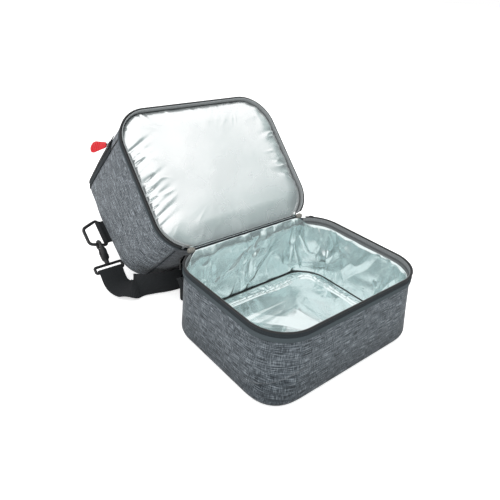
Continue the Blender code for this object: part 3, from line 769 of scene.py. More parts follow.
# upper compartment: one padded shell, parted at the flap's seam
lidShell = dict(columns=420, rows=64, start=0.0112, edge=0.011, wall=0.0086, bow=0.0016, ripple=0.0008,
                swell=0.0040, swellEnds=(0.120, 0.166), backSeam=0.010, middle=0.08)


def lidGrid(size):
    # grid in the lid's own directions: the wall pushed out by bow, ripple and swell, a quarter-round edge,
    # and rings that close the top
    columns, rows, edge = size["columns"], size["rows"], size["edge"]
    share = np.linspace(0, 1, columns, endpoint=False)
    x, y, nx, ny = planOutline(share)
    wall = np.linspace(0, 1, rows)[:, None]
    turn = np.linspace(0, math.pi / 2, 9)[1:, None]
    rings = np.linspace(1, 0.03, 22)[1:, None]
    roof = lidTop(bagBack - y)
    arch = np.sin(math.pi * wall)
    ripple = size["ripple"] * softNoise(share[None] * 26, wall * 4, 14, 26) * arch ** 0.5
    # the side walls also lean out towards the top, but not where the flap's slider runs
    swell = size["swell"] * nx ** 2 * (1 - ease(bagBack - y, *size["swellEnds"]))
    push = np.concatenate([size["bow"] * arch + ripple + swell * wall, swell - edge * (1 - np.cos(turn))])
    px, py = x + nx * push, y + ny * push
    topX, topY = px[-1] * rings, py[-1] * rings
    low = size["start"] + (roof - edge - size["start"]) * wall
    sideT = np.concatenate([low, roof - edge * (1 - np.sin(turn))])
    t = np.concatenate([sideT, lidTop(bagBack - topY)])
    points = np.stack([np.concatenate([px, topX]), bagBack - np.concatenate([py, topY]), t], -1)
    around = np.linspace(0, outlineLength, columns + 1)[None]
    sideUV = gridUV(around, np.concatenate([sideT, sideT[:, :1]], 1))
    topUV = gridUV(np.concatenate([topX, topX[:, :1]], 1), np.concatenate([topY, topY[:, :1]], 1))
    return points, np.concatenate([sideUV, topUV])


def lidPiece(name, isFlap):
    # grid cut by the flap's seam, its fold and the back seam, the wanted side kept, then turned into place
    size = lidShell
    points, uv = lidGrid(size)
    pole = (0, bagBack, lidTop(bagBack))
    made = gridObject(name, points, heather, closedU=True, uv=uv, pole=pole)
    # slots 0 to 2 are cloth, lining and rim, and slots 3 to 5 the same for the back panel, whose cloth is a
    # darker copy of the heather: painted shade
    for material in (foil, charcoal, shadedBackHeather, foil, charcoal):
        made.data.materials.append(material)
    work = bmesh.new()
    work.from_mesh(made.data)
    frontWay, upWay = (0, 1, 0), (0, 0, 1)
    cuts = ((flapSeam, frontWay), (flapFold, upWay), (size["backSeam"], frontWay))
    for far, normal in cuts:
        parts = work.verts[:] + work.edges[:] + work.faces[:]
        place = Vector(normal) * far
        bmesh.ops.bisect_plane(work, geom=parts, plane_co=place, plane_no=normal, dist=1e-6)
    unwanted = []
    for face in work.faces:
        centre = face.calc_center_median()
        if (centre.y > flapSeam and centre.z > flapFold) != isFlap:
            unwanted.append(face)
    bmesh.ops.delete(work, geom=unwanted, context="FACES")
    bmesh.ops.recalc_face_normals(work, faces=work.faces)
    middle = Vector((0, bagBack, size["middle"]))
    if sum(face.normal.dot(face.calc_center_median() - middle) for face in work.faces) < 0:
        bmesh.ops.reverse_faces(work, faces=work.faces)
    # the back panel takes the darker heather, painted shade
    for face in work.faces:
        if face.calc_center_median().y < size["backSeam"]:
            face.material_index = 3
    work.to_mesh(made.data)
    work.free()
    places = np.array([vertex.co for vertex in made.data.vertices])
    # the lid's directions are left-handed to the room, so the faces are turned over
    made.data.flip_normals()
    moved(made, lidPoint(places[:, 0], places[:, 1], places[:, 2]))
    return thicken(made, size["wall"], inner=1, rim=2)


finishPiece(lidPiece("lidFabric", False), "upper", "heather_fabric", "upper_outer_wall", "upper_wall_foam",
            "upper_liner_wall", "upper_top_panel", "upper_top_foam", "upper_top_liner")
finishPiece(lidPiece("flapFabric", True), "flap", "heather_fabric", "flap_outer_wall", "flap_wall_foam",
            "flap_liner_wall", "flap_top_panel", "flap_top_foam", "flap_top_liner")

sideSeam = dict(r=0.0092, low=0.06, proud=0.0002, radius=0.0009)


def makeSideSeam(name, side, size):
    # seam of the back panel, up the wall just past the back corner: the shell's place plus a little
    r, height = size["r"], np.linspace(size["low"], 1, 40)
    lean = 1 - r / cornerRadius
    outX = math.sqrt(1 - lean ** 2)
    stand = lidShell["bow"] * np.sin(math.pi * height) + lidShell["swell"] * outX ** 2 * height
    stand = stand + size["proud"]
    level = lidShell["start"] + (lidTop(r) - lidShell["edge"] - lidShell["start"]) * height
    path = lidPoint(side * (straightX + outX * (cornerRadius + stand)), r - lean * stand, level)
    return tube(f"{name}SideSeam", path, size["radius"], charcoal, count=60, sides=8)


for name, side in bothSides:
    finishPiece(makeSideSeam(name, side, sideSeam), "upper", "heather_fabric")
print("upper shell made")

# upper zip half and inner tape
upperBand = dict(out=(0.0001, 0.0013), up=(0.0026, 0.0078), bevel=0.0004, overlap=0.0)
upperHem = dict(out=(0.0002, 0.0012), up=(upperBand["up"][1], 0.0116), bevel=0.0004, overlap=0.0)
upperCoil = dict(out=0.0004, up=0.0017, wide=0.0017, high=0.00095)
upperInnerTape = dict(out=(-0.0023, -0.0013), up=(-0.0001, 0.0116), bevel=0.0004, overlap=0.006)
upperInnerBinding = dict(out=(-0.0028, -0.0020), up=(0.0050, 0.0080), bevel=0.0003, overlap=0.006)
zipBand("upperBand", upperBand, True, charcoal, "upper_zip_tape")
zipBand("upperHem", upperHem, True, hemCloth)
zipCoil("upperCoil", upperCoil, True, "upper_zip_coil")
zipBand("upperInnerTape", upperInnerTape, True, lidTape)
zipBand("upperInnerBinding", upperInnerBinding, True, lidTapeDark)

# puffy divider pad
dividerPad = dict(columns=350, rows=270, rim=0.0108, crown=0.0140, inset=0.0026, backReach=0.0008,
                  backRim=0.0024, backFrom=0.055, backSides=(0.085, 0.118), roll=0.034, stitch=(0.0, 0.004),
                  pleat=0.0028, pleatFade=0.022, pleatEnds=(0.025, 0.058), pleatLeast=0.22, pleatLeft=0.65,
                  leftFrom=(0.02, 0.10), pleatRight=0.4, rightFrom=(0.06, 0.11), calmBack=(0.02, 0.08),
                  gather=0.0008, gatherFade=0.010, gatherFrom=(0.0, 0.003), wave=0.0024, waveFrom=(0.0, 0.03),
                  waveBack=(0.03, 0.09), groove=0.0024, grooveHalf=0.0021, grooveSpread=0.06,
                  grooveSlant=0.42, skin=0.0012)
# placed pleats of each side: place along the edge, depth, and reach inwards
leftPleats = ((-0.047, 0.9, 0.030), (-0.034, 0.7, 0.024), (-0.024, 0.8, 0.026), (-0.012, 0.6, 0.018),
              (0.004, 0.9, 0.028), (0.019, 1.2, 0.020), (0.030, 1.0, 0.026), (0.041, 0.8, 0.022),
              (0.053, 0.9, 0.024), (0.066, 0.7, 0.020))
rightPleats = ((0.024, 0.6, 0.024), (0.046, 0.8, 0.026))


def makePad(size):
    # pillow: an elliptical roll at the stitched edge up to a flat crown; its back reaches nearer the fold
    px, py, _ = roundedGrid(size["columns"], size["rows"], size["inset"])
    gap = gapToEdge(px, py, size["inset"])
    toBack = ease(py, size["backFrom"], bagBack - size["inset"]) * (1 - ease(np.abs(px), *size["backSides"]))
    rise = np.sqrt(np.maximum(0, 1 - np.clip(1 - gap / size["roll"], 0, 1) ** 2))
    rim = size["rim"] + (size["backRim"] - size["rim"]) * toBack
    # pleats run in from the edge, strongest on the left, and broad slack waves cross the middle
    angle = np.arctan2(py / bagDepth, px / bagWidth) / (2 * math.pi) + 0.5
    stitched = ease(gap, *size["stitch"])
    fromEdge = np.exp(-gap / size["pleatFade"]) * stitched * (1 - ease(gap, *size["pleatEnds"]))
    bend = 0.8 * softNoise(px * 40 + 20, py * 40 + 20, 61, 997)
    pleats = creaseNoise(angle * 56 + bend, gap * 40 + 0.5, 63, 1000)
    small = softNoise(angle * 140 + 2 * bend, gap * 90, 64, 1000)
    small = small * np.exp(-gap / size["gatherFade"]) * ease(gap, *size["gatherFrom"])
    waves = softNoise(px * 15 + 30, py * 12 + 30, 65, 997) * ease(gap, *size["waveFrom"])
    strength = size["pleatLeast"] + size["pleatLeft"] * ease(-px, *size["leftFrom"])
    strength = strength + size["pleatRight"] * ease(px, *size["rightFrom"])
    nearBack = ease(py, *size["calmBack"])
    lift = size["pleat"] * pleats * fromEdge * strength * (1 - 0.85 * nearBack)
    lift = lift + size["gather"] * small * (1 - 0.9 * nearBack)
    lift = lift + size["wave"] * waves * (1 - 0.6 * ease(py, *size["waveBack"]))
    # placed pleats: narrow grooves that slant forward as they run in from the stitched edge
    for side, pleatSet in ((-1, leftPleats), (1, rightPleats)):
        inward = bagWidth / 2 - size["inset"] - side * px
        half = size["grooveHalf"] + size["grooveSpread"] * inward
        for at, depth, reach in pleatSet:
            groove = np.exp(-((py - at + size["grooveSlant"] * inward) / half) ** 2)
            groove = groove * np.exp(-(inward / reach) ** 2) * stitched
            lift = lift - size["groove"] * depth * groove
    t = rim - (rim + size["crown"] - size["rim"]) * rise - lift
    points = lidPoint(px, bagBack - (py + size["backReach"] * toBack), t)
    made = turnedOut(gridObject("dividerPad", points, padFoil))
    return thicken(facing(made, len(made.data.polygons) // 2, -lidUp), size["skin"])


padPiece = finishPiece(makePad(dividerPad), "upper", "foil", "divider_foil_pad", "divider_board")

lidFloor = dict(columns=120, rows=100, level=0.0148, inset=0.0088, crease=0.0006, skin=0.0006)


def makeLidFloor(size):
    # foil floor inside the upper compartment: level, with creases that fade towards its edge
    px, py, edge = roundedGrid(size["columns"], size["rows"], size["inset"])
    t = size["level"] + size["crease"] * creaseNoise(px * 30 + 40, py * 30 + 40, 71, 997) * (1 - edge ** 6)
    made = turnedOut(gridObject("upperFloorFoil", lidPoint(px, bagBack - py, t), foil))
    return thicken(made, size["skin"], offset=0.0)


finishPiece(makeLidFloor(lidFloor), "upper", "foil", "upper_liner_floor")
print("divider pad made")

# fold line: foil strip with a dark line between the two foils, outer piping, and a round patch at each end
foldStrip = dict(half=0.1000, columns=120, rows=13, crest=(0.1046, 0.1046), padFront=0.0046, padUp=0.0034,
                 arch=0.0012, width=0.016, skin=0.0008)


def makeFoldStrip(name, size, low, high, lift, material):
    # strip over the fold from the lower crest to the pad's edge, between two shares of the way across:
    # a straight line plus half a sine of arch and the lift
    x = np.linspace(-size["half"], size["half"], size["columns"])
    end = hinge + size["padFront"] * lidFront + size["padUp"] * lidUp
    run = np.linspace(low, high, size["rows"])[:, None]
    y, z = (first + (last - first) * run for first, last in zip(size["crest"], end[1:]))
    z = z + size["arch"] * np.sin(math.pi * run) + lift
    points = np.stack(np.broadcast_arrays(x[None], y, z), -1)
    made = gridObject(name, points, material, uv=gridUV(x[None], run * size["width"]))
    facing(made, 0, roomUp)
    made.data.materials.append(charcoal)
    return thicken(made, size["skin"], inner=1, rim=1)


stripRows = (("foldStrip", 0.0, 1.0, 0.0, foil, "foil"),
             ("foldLine", 0.52, 0.68, 0.0007, darkCloth, "charcoal_fabric"))
for name, low, high, lift, material, slot in stripRows:
    strip = makeFoldStrip(name, foldStrip, low, high, lift, material)
    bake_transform(strip)

foldPiping = dict(half=0.096, drop=0.0012, radius=0.0019)
pipeEnds = [(way * foldPiping["half"], hinge[1], hinge[2] - foldPiping["drop"]) for way in (-1, 1)]
pipe = tube("foldPiping", pipeEnds, foldPiping["radius"], charcoal, count=40)
finishPiece(pipe, "lower", "charcoal_fabric", "hinge_binding")

zipPatch = dict(x=0.1016, half=0.0058, radius=0.0040, forward=0.0010, girth=0.029, columns=28, rows=15)


def makePatch(name, side, size):
    # round patch: a half circle, flattened by its power, turned about the fold line
    turn = np.linspace(0, math.pi, size["rows"])[:, None]
    x = side * (size["x"] - size["half"] * np.cos(turn))
    radius = size["radius"] * np.sin(turn) ** 0.6
    across, up = unitCircle(size["columns"]).T
    places = (x, hinge[1] - size["forward"] + radius * across, hinge[2] + radius * up)
    uv = gridUV(x, np.linspace(0, size["girth"], size["columns"] + 1)[None])
    points = np.stack(np.broadcast_arrays(*places), -1)
    return turnedOut(gridObject(f"{name}Patch", points, patchCloth, closedU=True, uv=uv))


for name, side in bothSides:
    finishPiece(makePatch(name, side, zipPatch), "lower", "patch_fabric", f"zip_end_patch_{name}")
print("fold line made")

# zip of the front flap, over the seam on both walls and the top
flapZip = dict(tape=0.0112, edge=0.0022, lift=0.0009, low=flapFold + 0.0012, skin=0.0012, coilOff=0.0013,
               coilLift=0.0016, coilRadius=0.0011, coilCount=1700)
zipStop = dict(off=0.009, lift=0.0003, low=0.001, past=0.001, radius=0.0009)
wallSteps = 60


def seamRoute(r, lift, low):
    # way over the shell at one distance from the fold: up the left wall, round the edge, across the top,
    # and down the other side; each point is the shell's place plus the lift along its outward direction
    edge, start = lidShell["edge"], lidShell["start"]
    lean = np.clip((r - (bagDepth - cornerRadius)) / cornerRadius, 0, 0.999)
    outX = np.sqrt(1 - lean ** 2)
    wallX = straightX + cornerRadius * outX
    top = lidTop(r)
    level = np.linspace(low, top - edge, wallSteps)
    height = np.clip((level - start) / (top - edge - start), 0, 1)
    swell = lift + lidShell["bow"] * np.sin(math.pi * height)
    wall = np.stack([-(wallX + outX * swell), r + lean * swell, level], 1)
    turn = np.linspace(0, math.pi / 2, 10)[1:]
    bendX = wallX - edge * outX + (edge + lift) * outX * np.cos(turn)
    bendR = r - edge * lean + (edge + lift) * lean * np.cos(turn)
    bend = np.stack([-bendX, bendR, top - edge + (edge + lift) * np.sin(turn)], 1)
    flat = np.linspace(bend[-1, 0], 0, 40)[1:]
    roof = np.stack([flat, bend[-1, 1] + 0 * flat, lidTop(bend[-1, 1]) + lift + 0 * flat], 1)
    route = np.concatenate([wall, bend, roof])
    return np.concatenate([route, route[:-1][::-1] * np.array([-1, 1, 1])])


def seamStrip(name, near, far):
    # tape between two distances from the seam, one route for each of its rows
    rows = np.linspace(flapSeam + near, flapSeam + far, 7)
    routes = np.stack([seamRoute(r, flapZip["lift"], flapZip["low"]) for r in rows])
    points = lidPoint(routes[..., 0], routes[..., 1], routes[..., 2])
    made = gridObject(name, points, charcoal, uv=gridUV(wayAlong(routes[3])[None], rows[:, None]))
    return thicken(made, flapZip["skin"], offset=0.0)


def seamCoil(name, off):
    # coil along the seam: a round cord times the swell at each place
    route = resampled(seamRoute(flapSeam + off, flapZip["coilLift"], flapZip["low"]), flapZip["coilCount"])
    path = lidPoint(*route.T)
    radius = flapZip["coilRadius"] * coilSwell(wayAlong(path))
    return tube(name, path, radius, coilBlack, count=flapZip["coilCount"], sides=8)


def makeZipStop(name, side, size):
    # short cord on the wall below the tape's end, where the zip stops
    route = seamRoute(flapSeam - size["off"], size["lift"], lidShell["start"] + size["low"])[:wallSteps]
    route = route[route[:, 2] < flapZip["low"] + size["past"]] * np.array([-side, 1, 1])
    return tube(f"{name}ZipEnd", lidPoint(*route.T), size["radius"], coilBlack, count=24, sides=8)


for label, body, way in (("mouth", "upper", -1), ("flap", "flap", 1)):
    tape = seamStrip(f"{label}Tape", way * flapZip["edge"], way * flapZip["tape"])
    finishPiece(tape, body, "charcoal_fabric", f"{label}_zip_tape")
    finishPiece(seamCoil(f"{label}Coil", way * flapZip["coilOff"]), body, "zip_coil", f"{label}_zip_coil")
for name, side in bothSides:
    finishPiece(makeZipStop(name, side, zipStop), "upper", "charcoal_fabric")
print("flap zip made")

# zip sliders and pulls
slider = dict(stand=0.0036, sizes=(0.0026, 0.0118, 0.0078), bevel=0.0009, bridgeStand=0.0046,
              bridgeHalf=0.0036, bridgeRise=0.0026, bridgeWire=0.0007, pullStand=0.0063)
pullShape = dict(round=0.42, square=0.3, rootLong=0.0035, bevel=0.0005, ribs=4, ribFrom=0.45, ribStep=0.13,
                 ribLong=0.0016, ribHalf=0.34, ribProud=0.0008, ribCorner=0.0006, ribBevel=0.0002)
lowerPull = dict(length=0.016, wide=0.009, root=0.007, thick=0.0016)
flapPull = dict(length=0.028, wide=0.019, root=0.010, thick=0.0018)
lowerSlider = dict(place=(0.11846, 0.09466, 0.104), out=(0.6691, 0.7431, 0.0))
flapSlider = dict(place=(-0.1283, 0.27645, 0.2086), outSide=0.866025, outFront=0.5, pullOut=0.65,
                  pullUp=0.7599)


def pullRim(pull, shape):
    # outline of a pull: a squarish rounded tip and a narrower round root
    end = np.linspace(-math.pi / 2, math.pi / 2, 13)
    wide, back = pull["wide"], end[::-1]
    tipAcross = wide * 0.5 * np.sin(end) / np.maximum(np.abs(np.sin(end)), np.cos(end)) ** shape["square"]
    tip = np.stack([pull["length"] + wide * shape["round"] * (np.cos(end) - 1), tipAcross], 1)
    rootAlong = shape["rootLong"] - shape["rootLong"] * np.cos(back * 0.999)
    return np.concatenate([tip, np.stack([rootAlong, pull["root"] * 0.5 * np.sin(back)], 1)])


def sliderSet(name, origin, out, along, across, bodies, nodes, pullWay, pull, material, slot):
    # body with an arched bridge, and a ribbed pull that swings on it
    # the lower sliders have along and across the same, so that their bodies are flat plates
    body = boxPiece(f"{name}Slider", origin + out * slider["stand"], (out, along, across), slider["sizes"],
                    slider["bevel"], plastic)
    finishPiece(body, bodies[0], "black_plastic", nodes[0])
    arch = np.linspace(0, math.pi, 15)
    bridge = origin + out * slider["bridgeStand"] + np.outer(np.cos(arch) * slider["bridgeHalf"], along)
    bridge = bridge + np.outer(np.sin(arch) * slider["bridgeRise"], out)
    wire = tube(f"{name}Bridge", bridge, slider["bridgeWire"], plastic, count=24, sides=8)
    finishPiece(wire, bodies[0], "black_plastic")
    shape, start = pullShape, origin + out * slider["pullStand"]
    axes = (pullWay, across, np.cross(pullWay, across))
    rim = pullRim(pull, shape)
    tab = platePiece(f"{name}Pull", rim, pull["thick"], start, axes, shape["bevel"], material)
    finishPiece(tab, bodies[1], slot, nodes[1])
    ribThick, ribHalf = pull["thick"] + shape["ribProud"], pull["wide"] * shape["ribHalf"]
    for k in range(shape["ribs"]):
        low = shape["ribFrom"] * pull["length"] + k * shape["ribStep"] * pull["length"]
        rim = slab(low, low + shape["ribLong"], -ribHalf, ribHalf, shape["ribCorner"])
        rib = platePiece(f"{name}Rib{k}", rim, ribThick, start, axes, shape["ribBevel"], material)
        finishPiece(rib, bodies[1], slot)


for name, side in bothSides:
    mirror = np.array([side, 1, 1])
    wallOut = lowerSlider["out"] * mirror
    rimWay = np.cross(roomUp, wallOut)
    sliderSet(f"{name}Lower", lowerSlider["place"] * mirror, wallOut, rimWay, rimWay,
              (f"slider_{name}", f"pull_{name}"), (f"lower_zip_slider_{name}", f"lower_zip_pull_{name}"),
              -roomUp, lowerPull, plastic, "black_plastic")
seamOut = -flapSlider["outSide"] * roomX + flapSlider["outFront"] * lidFront
seamAcross = flapSlider["outFront"] * roomX + flapSlider["outSide"] * lidFront
pullWay = flapSlider["pullOut"] * seamOut + flapSlider["pullUp"] * lidUp
sliderSet("flap", np.array(flapSlider["place"]), seamOut, lidUp, seamAcross,
          ("flap_slider", "flap_pull"), ("flap_zip_slider", "flap_zip_pull"),
          pullWay, flapPull, redRubber, "red_rubber")
print("sliders made")

# strap tabs, rings, snap hooks with their gates, and swivel bases
barWay = np.array([0.0, -0.7968, -0.6042])
leanWay = np.array([0.0, -0.7901, -0.6130])
leanUp = np.array([0.0, 0.6130, -0.7901])
hookAxes = (roomX, leanWay, leanUp)
strapWidth = 0.038
tabSize = dict(end=0.0122, neck=0.0075, half=0.0010, loop=0.0033, turn=0.86, points=90, thick=0.0016,
               bevel=0.0006)
ringSize = dict(place=(0.1473, 0.29427, 0.06484), rod=0.0022, bar=0.0232, far=0.0140, reach=0.026,
                fillet=0.0055, stout=0.16, stoutEnds=(0.003, 0.009), points=140)
hookSize = dict(place=(0.1603, 0.27945, 0.0536), rod=0.0023, slim=1.12, stout=0.5, eye=0.0075, centre=0.0027,
                neck=0.0252, neckStart=0.0192, stem=0.0272, stemSide=0.0012, end=0.0332, points=120,
                broad=0.9, broadFrom=(0.006, 0.013), broadTo=(0.024, 0.030))
gateSize = dict(rod=0.0016, start=0.0010, bend=0.0016, end=(0, 0.0307, 0.0042), fillet=0.003)
baseSize = dict(rod=0.0022, half=0.0222, near=0.0357, far=0.0457, fillet=0.003, strapTurn=0.0034)


def makeTab(name, size, ringAt, sideWay):
    # webbing tongue folded round the ring's bar: two straight ends and most of a circle
    turn = np.linspace(math.pi * size["turn"], -math.pi * size["turn"], 25)
    loop = size["loop"] * np.stack([np.cos(turn), np.sin(turn)], 1)
    upper = [(-size["end"], size["half"]), (-size["neck"], size["half"])]
    lower = [(-size["neck"], -size["half"]), (-size["end"], -size["half"])]
    tongue = smoothPath(np.concatenate([upper, loop, lower]), size["points"])
    tongue = resampled(tongue, size["points"])
    path = ringAt + tongue[:, :1] * sideWay + tongue[:, 1:] * np.cross(sideWay, barWay)
    across = np.broadcast_to(barWay, path.shape)
    up = np.cross(unit(np.gradient(path, axis=0)), across)
    section = flatSection(strapWidth, size["thick"], size["bevel"])
    return sweep(f"{name}Tab", path, across, up, section, webbing)


def makeRing(name, size, ringAt, sideWay):
    # four-sided loop with rounded corners, a little stouter away from its bar
    bar, far, reach = size["bar"], size["far"], size["reach"]
    flat = filletPath([(0, -bar), (0, bar), (reach, far), (reach, -far)], size["fillet"])
    path = resampled(ringAt + flat[:, :1] * sideWay + flat[:, 1:] * barWay, size["points"], closed=True)
    rod = size["rod"] * (1 + size["stout"] * ease((path - ringAt) @ sideWay, *size["stoutEnds"]))
    return tube(f"{name}Ring", path, rod, plastic, closed=True, count=size["points"])


def broadened(made, origin, size):
    # moulded body wider than the nose: distances from the middle times a swell along the hook
    places = np.array([vertex.co for vertex in made.data.vertices])
    way = (places - origin) @ leanWay
    swell = size["broad"] * ease(way, *size["broadFrom"]) * (1 - ease(way, *size["broadTo"]))
    places[:, 0] = origin[0] + (places[:, 0] - origin[0]) * (1 + swell)
    return moved(made, places)


def makeHook(name, size, hookAt):
    # half circle round the ring, then back to the neck and the stem, thicker towards the stem
    turn = np.radians(-np.arange(0, 181, 10))
    bow = np.stack([0 * turn, size["centre"] + size["eye"] * np.sin(turn), size["eye"] * np.cos(turn)], 1)
    neck, stem = (0, size["neck"] - size["eye"], -size["eye"]), (0, size["stem"], -size["stemSide"])
    route = smoothPath(np.concatenate([bow, [neck, stem, (0, size["end"], 0)]]), size["points"])
    route = resampled(route, size["points"])
    rod = size["rod"] * (size["slim"] + size["stout"] * ease(route[:, 1], size["neckStart"], size["stem"]))
    path = inFrame(route, hookAt, hookAxes)
    made = tube(f"{name}Hook", path, rod, plastic, count=size["points"], sides=14)
    return broadened(made, hookAt, size)


def makeGate(name, size, hook, hookAt):
    # rod from the hook's nose to its stem with one rounded bend
    nose, bend = hook["centre"] + size["start"], hook["neck"] - size["bend"]
    route = [(0, nose, hook["eye"]), (0, bend, hook["eye"]), size["end"]]
    path = inFrame(filletPath(route, size["fillet"], closed=False), hookAt, hookAxes)
    return broadened(tube(f"{name}Gate", path, size["rod"], plastic, count=48), hookAt, hook)


def makeBase(name, size, hookAt):
    # rounded rectangle of rod that carries the strap
    half, near, far = size["half"], size["near"], size["far"]
    route = filletPath([(-half, near, 0), (half, near, 0), (half, far, 0), (-half, far, 0)], size["fillet"])
    return tube(f"{name}Base", inFrame(route, hookAt, hookAxes), size["rod"], plastic, closed=True, count=160)


hookEnds = {}
for name, side in bothSides:
    mirror = np.array([side, 1, 1])
    sideWay = side * roomX
    ringAt, hookAt = ringSize["place"] * mirror, hookSize["place"] * mirror
    finishPiece(makeTab(name, tabSize, ringAt, sideWay), "upper", "webbing", f"{name}_ring_tab")
    finishPiece(makeRing(name, ringSize, ringAt, sideWay), f"clip_{name}", "black_plastic", f"{name}_ring")
    finishPiece(makeHook(name, hookSize, hookAt), f"hook_{name}", "black_plastic", f"{name}_snap_hook")
    gate = makeGate(name, gateSize, hookSize, hookAt)
    finishPiece(gate, f"gate_{name}", "black_plastic", f"{name}_hook_gate")
    finishPiece(makeBase(name, baseSize, hookAt), f"clip_{name}", "black_plastic", f"{name}_swivel_base")
    # the strap turns round the far bar of the base by half a circle
    around = np.radians([90, 135, 180, 225, 270])
    strapTurn = baseSize["strapTurn"] * np.stack([0 * around, np.cos(around), np.sin(around)], 1)
    hookEnds[name] = inFrame(strapTurn + [0, baseSize["far"], 0], hookAt, hookAxes)
print("clips made")

# shoulder strap along the same route as the CAD's, in three lengths
strapSize = dict(thick=0.0018, bevel=0.0007, rest=0.0196, lift=0.0245, liftBelow=0.145, points=900)
strapCut = (0.142, 0.190, 0.019)
# lead of the left side: distance out from the bag's side, y, z, and the direction of the strap's width
leadRows = np.array([(0.0250, 0.2240, 0.0120, 1.0, 0.0, 0.0),
                     (0.0200, 0.2060, 0.0105, 0.92, -0.15, 0.30),
                     (0.0070, 0.1900, 0.0190, 0.62, -0.30, 0.70),
                     (-0.0150, 0.1780, 0.0208, 0.30, -0.22, 0.93),
                     (-0.0400, 0.1725, 0.0202, 0.05, -0.05, 1.0)])
# folds behind the bag, seen from above
foldRows = np.array([(-0.060, 0.171), (-0.020, 0.171), (0.020, 0.171), (0.0295, 0.1695), (0.034, 0.1625),
                     (0.0295, 0.1555), (0.020, 0.154), (-0.030, 0.154), (-0.080, 0.154), (-0.0895, 0.1525),
                     (-0.094, 0.1455), (-0.0895, 0.1385), (-0.080, 0.137), (-0.060, 0.137), (-0.030, 0.137),
                     (0.000, 0.137), (0.020, 0.1375), (0.048, 0.143), (0.072, 0.157)])


def withWay(places, way):
    # rows of a place and the one direction of the strap's width there
    return np.concatenate([places, np.tile(way, (len(places), 1))], 1)


def strapRows(size):
    # rows of centre and width direction: left turn, left lead, folds, right lead, right turn
    lead = leadRows.copy()
    lead[:, 0] = -bagWidth / 2 - lead[:, 0]
    mirror = lead * np.array([-1, 1, 1, -1, 1, 1])
    level = np.where(foldRows[:, 1] < size["liftBelow"], size["lift"], size["rest"])
    folds = withWay(np.concatenate([foldRows, level[:, None]], 1), roomUp)
    left = np.concatenate([withWay(hookEnds["left"], roomX), lead])
    right = np.concatenate([withWay(hookEnds["right"], -roomX), mirror])
    return np.concatenate([left, folds, right[::-1]])


def bandPiece(name, rows, size):
    # flat band: its width direction less the part along the route, its thickness square to both
    centres, across = rows[:, :3], rows[:, 3:]
    ahead = unit(np.gradient(centres, axis=0))
    flat = unit(across - ahead * np.sum(across * ahead, 1)[:, None])
    section = flatSection(strapWidth, size["thick"], size["bevel"])
    return sweep(name, centres, flat, np.cross(ahead, flat), section, webbing)


strapRun = smoothPath(strapRows(strapSize), strapSize["points"])
cutPlaces = [strapCut * np.array([side, 1, 1]) for _, side in bothSides]
cutLeft, cutRight = (int(np.argmin(np.linalg.norm(strapRun[:, :3] - place, axis=1))) for place in cutPlaces)
strapMiddle = bandPiece("strapMiddle", strapRun[cutLeft:cutRight + 1], strapSize)
finishPiece(strapMiddle, "upper", "webbing", "shoulder_strap")
for name, rows, near in (("left", strapRun[:cutLeft + 1], cutLeft), ("right", strapRun[cutRight:], cutRight)):
    end = bandPiece(f"{name}StrapEnd", rows, strapSize)
    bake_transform(end)

adjuster = dict(place=(-0.030, 0.137, 0.0245), length=0.022, play=0.0006, wall=0.0022, fillet=0.0012,
                bevel=0.0008, points=120)


def makeAdjuster(size):
    # flat frame round the strap: a rounded rectangle half a wall and the play outside the strap's section
    outside = size["play"] + size["wall"] / 2
    inY, inZ = strapSize["thick"] / 2 + outside, strapWidth / 2 + outside
    corners = [(0, -inY, -inZ), (0, inY, -inZ), (0, inY, inZ), (0, -inY, inZ)]
    loop = resampled(filletPath(corners, size["fillet"]), size["points"], closed=True)
    ahead = unit(np.roll(loop, -1, 0) - np.roll(loop, 1, 0))
    along = np.broadcast_to(roomX, loop.shape)
    section = flatSection(size["length"], size["wall"], size["bevel"])
    centres = loop + size["place"]
    return sweep("adjusterFrame", centres, along, np.cross(ahead, along), section, plastic, closed=True)


finishPiece(makeAdjuster(adjuster), "adjuster", "black_plastic", "strap_adjuster")
print("strap made")

# camera, floor and light
cameraView = dict(place=(-0.4295, -0.3917, 0.4435), focal=500.94, frame=500.0, sensor=36.0, azimuth=-41.02,
                  elevation=29.17, roll=3.83)


def makeCamera(view):
    # looks back along a direction given by two angles, then rolls; the lens is the focal share of the sensor
    az, el, roll = (math.radians(view[key]) for key in ("azimuth", "elevation", "roll"))
    back = Vector((math.sin(az) * math.cos(el), -math.cos(az) * math.cos(el), math.sin(el)))
    right = (-back).cross(Vector((0, 0, 1))).normalized()
    up = right.cross(-back)
    turnedRight = right * math.cos(roll) + up * math.sin(roll)
    turnedUp = up * math.cos(roll) - right * math.sin(roll)
    data = bpy.data.cameras.new("photoCamera")
    data.sensor_width = view["sensor"]
    data.lens = view["focal"] / view["frame"] * view["sensor"]
    data.clip_start = 0.01
    camera = bpy.data.objects.new("photoCamera", data)
    bpy.context.scene.collection.objects.link(camera)
    turn = Matrix((turnedRight, turnedUp, back)).transposed().to_4x4()
    camera.matrix_world = Matrix.Translation(view["place"]) @ turn
    bpy.context.scene.camera = camera


makeCamera(cameraView)

studio = dict(world=0.95, skyX=0.5, skyY=0.6, floorLift=0.55, floorHalf=12.0, floorDrop=0.0004,
              aim=(0, 0.12, 0.08))
skyStops = ((0.30, (0.22, 0.255, 0.26)), (0.53, (0.44, 0.53, 0.525)), (0.58, (0.78, 0.845, 0.84)),
            (0.62, (0.99, 1.01, 1.01)), (0.65, (1.11, 1.11, 1.11)), (1.0, (1.16, 1.16, 1.16)))
keyLight = dict(place=(-1.1, -0.5, 1.3), size=1.2, power=8.0)
fillLight = dict(place=(0.7, -1.3, 1.0), size=1.0, power=6.0)


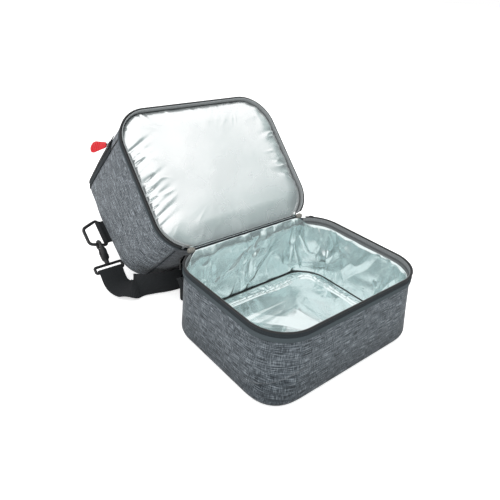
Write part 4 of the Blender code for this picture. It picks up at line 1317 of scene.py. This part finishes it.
def makeSky(light):
    # bright overhead, to the left and behind, dimmer elsewhere; plain white where the camera sees it
    world = bpy.data.worlds.new("studio")
    bpy.context.scene.world = world
    world.use_nodes = True
    tree = world.node_tree
    back = tree.nodes["Background"]
    coords = tree.nodes.new("ShaderNodeTexCoord")
    split = tree.nodes.new("ShaderNodeSeparateXYZ")
    tree.links.new(coords.outputs["Generated"], split.inputs["Vector"])
    x, y, z = (split.outputs[key] for key in "XYZ")
    slant = weighted(tree, (z, 1.0), (x, -light["skyX"]), (y, light["skyY"]))
    tone = ramp(tree, mathOf(tree, "ADD", mathOf(tree, "MULTIPLY", slant, 0.5), 0.5), skyStops)
    tree.links.new(tone, back.inputs["Color"])
    back.inputs["Strength"].default_value = light["world"]
    white = tree.nodes.new("ShaderNodeBackground")
    white.inputs["Color"].default_value = (1, 1, 1, 1)
    path = tree.nodes.new("ShaderNodeLightPath")
    mix = tree.nodes.new("ShaderNodeMixShader")
    tree.links.new(path.outputs["Is Camera Ray"], mix.inputs["Fac"])
    tree.links.new(back.outputs["Background"], mix.inputs[1])
    tree.links.new(white.outputs["Background"], mix.inputs[2])
    tree.links.new(mix.outputs["Shader"], tree.nodes["World Output"].inputs["Surface"])


def makeLamp(name, lamp, aim):
    # square lamp turned to look at the aim, unseen in reflections
    data = bpy.data.lights.new(name, "AREA")
    data.size = lamp["size"]
    data.energy = lamp["power"]
    made = bpy.data.objects.new(name, data)
    bpy.context.scene.collection.objects.link(made)
    made.location = lamp["place"]
    made.visible_glossy = False
    made.rotation_euler = (Vector(aim) - Vector(lamp["place"])).to_track_quat("-Z", "Y").to_euler()


def makeFloor(light):
    # pale square that glows a little to the camera alone, so that it is white where no shadow falls
    pale, tree, shader = newMaterial("paleFloor", 0.9)
    shader.inputs["Base Color"].default_value = (0.94, 0.94, 0.94, 1)
    shader.inputs["Specular IOR Level"].default_value = 0.1
    seen = tree.nodes.new("ShaderNodeLightPath")
    glow = mathOf(tree, "MULTIPLY", seen.outputs["Is Camera Ray"], light["floorLift"])
    shader.inputs["Emission Color"].default_value = (1, 1, 1, 1)
    tree.links.new(glow, shader.inputs["Emission Strength"])
    half, level = light["floorHalf"], -light["floorDrop"]
    corners = [(-half, -half, level), (half, -half, level), (half, half, level), (-half, half, level)]
    return meshObject("studioFloor", corners, [(0, 1, 2, 3)], pale)


bpy.context.scene.view_settings.view_transform = "Standard"
makeSky(studio)
makeLamp("keyLight", keyLight, studio["aim"])
makeLamp("fillLight", fillLight, studio["aim"])
floor = makeFloor(studio)
print("camera and studio made")
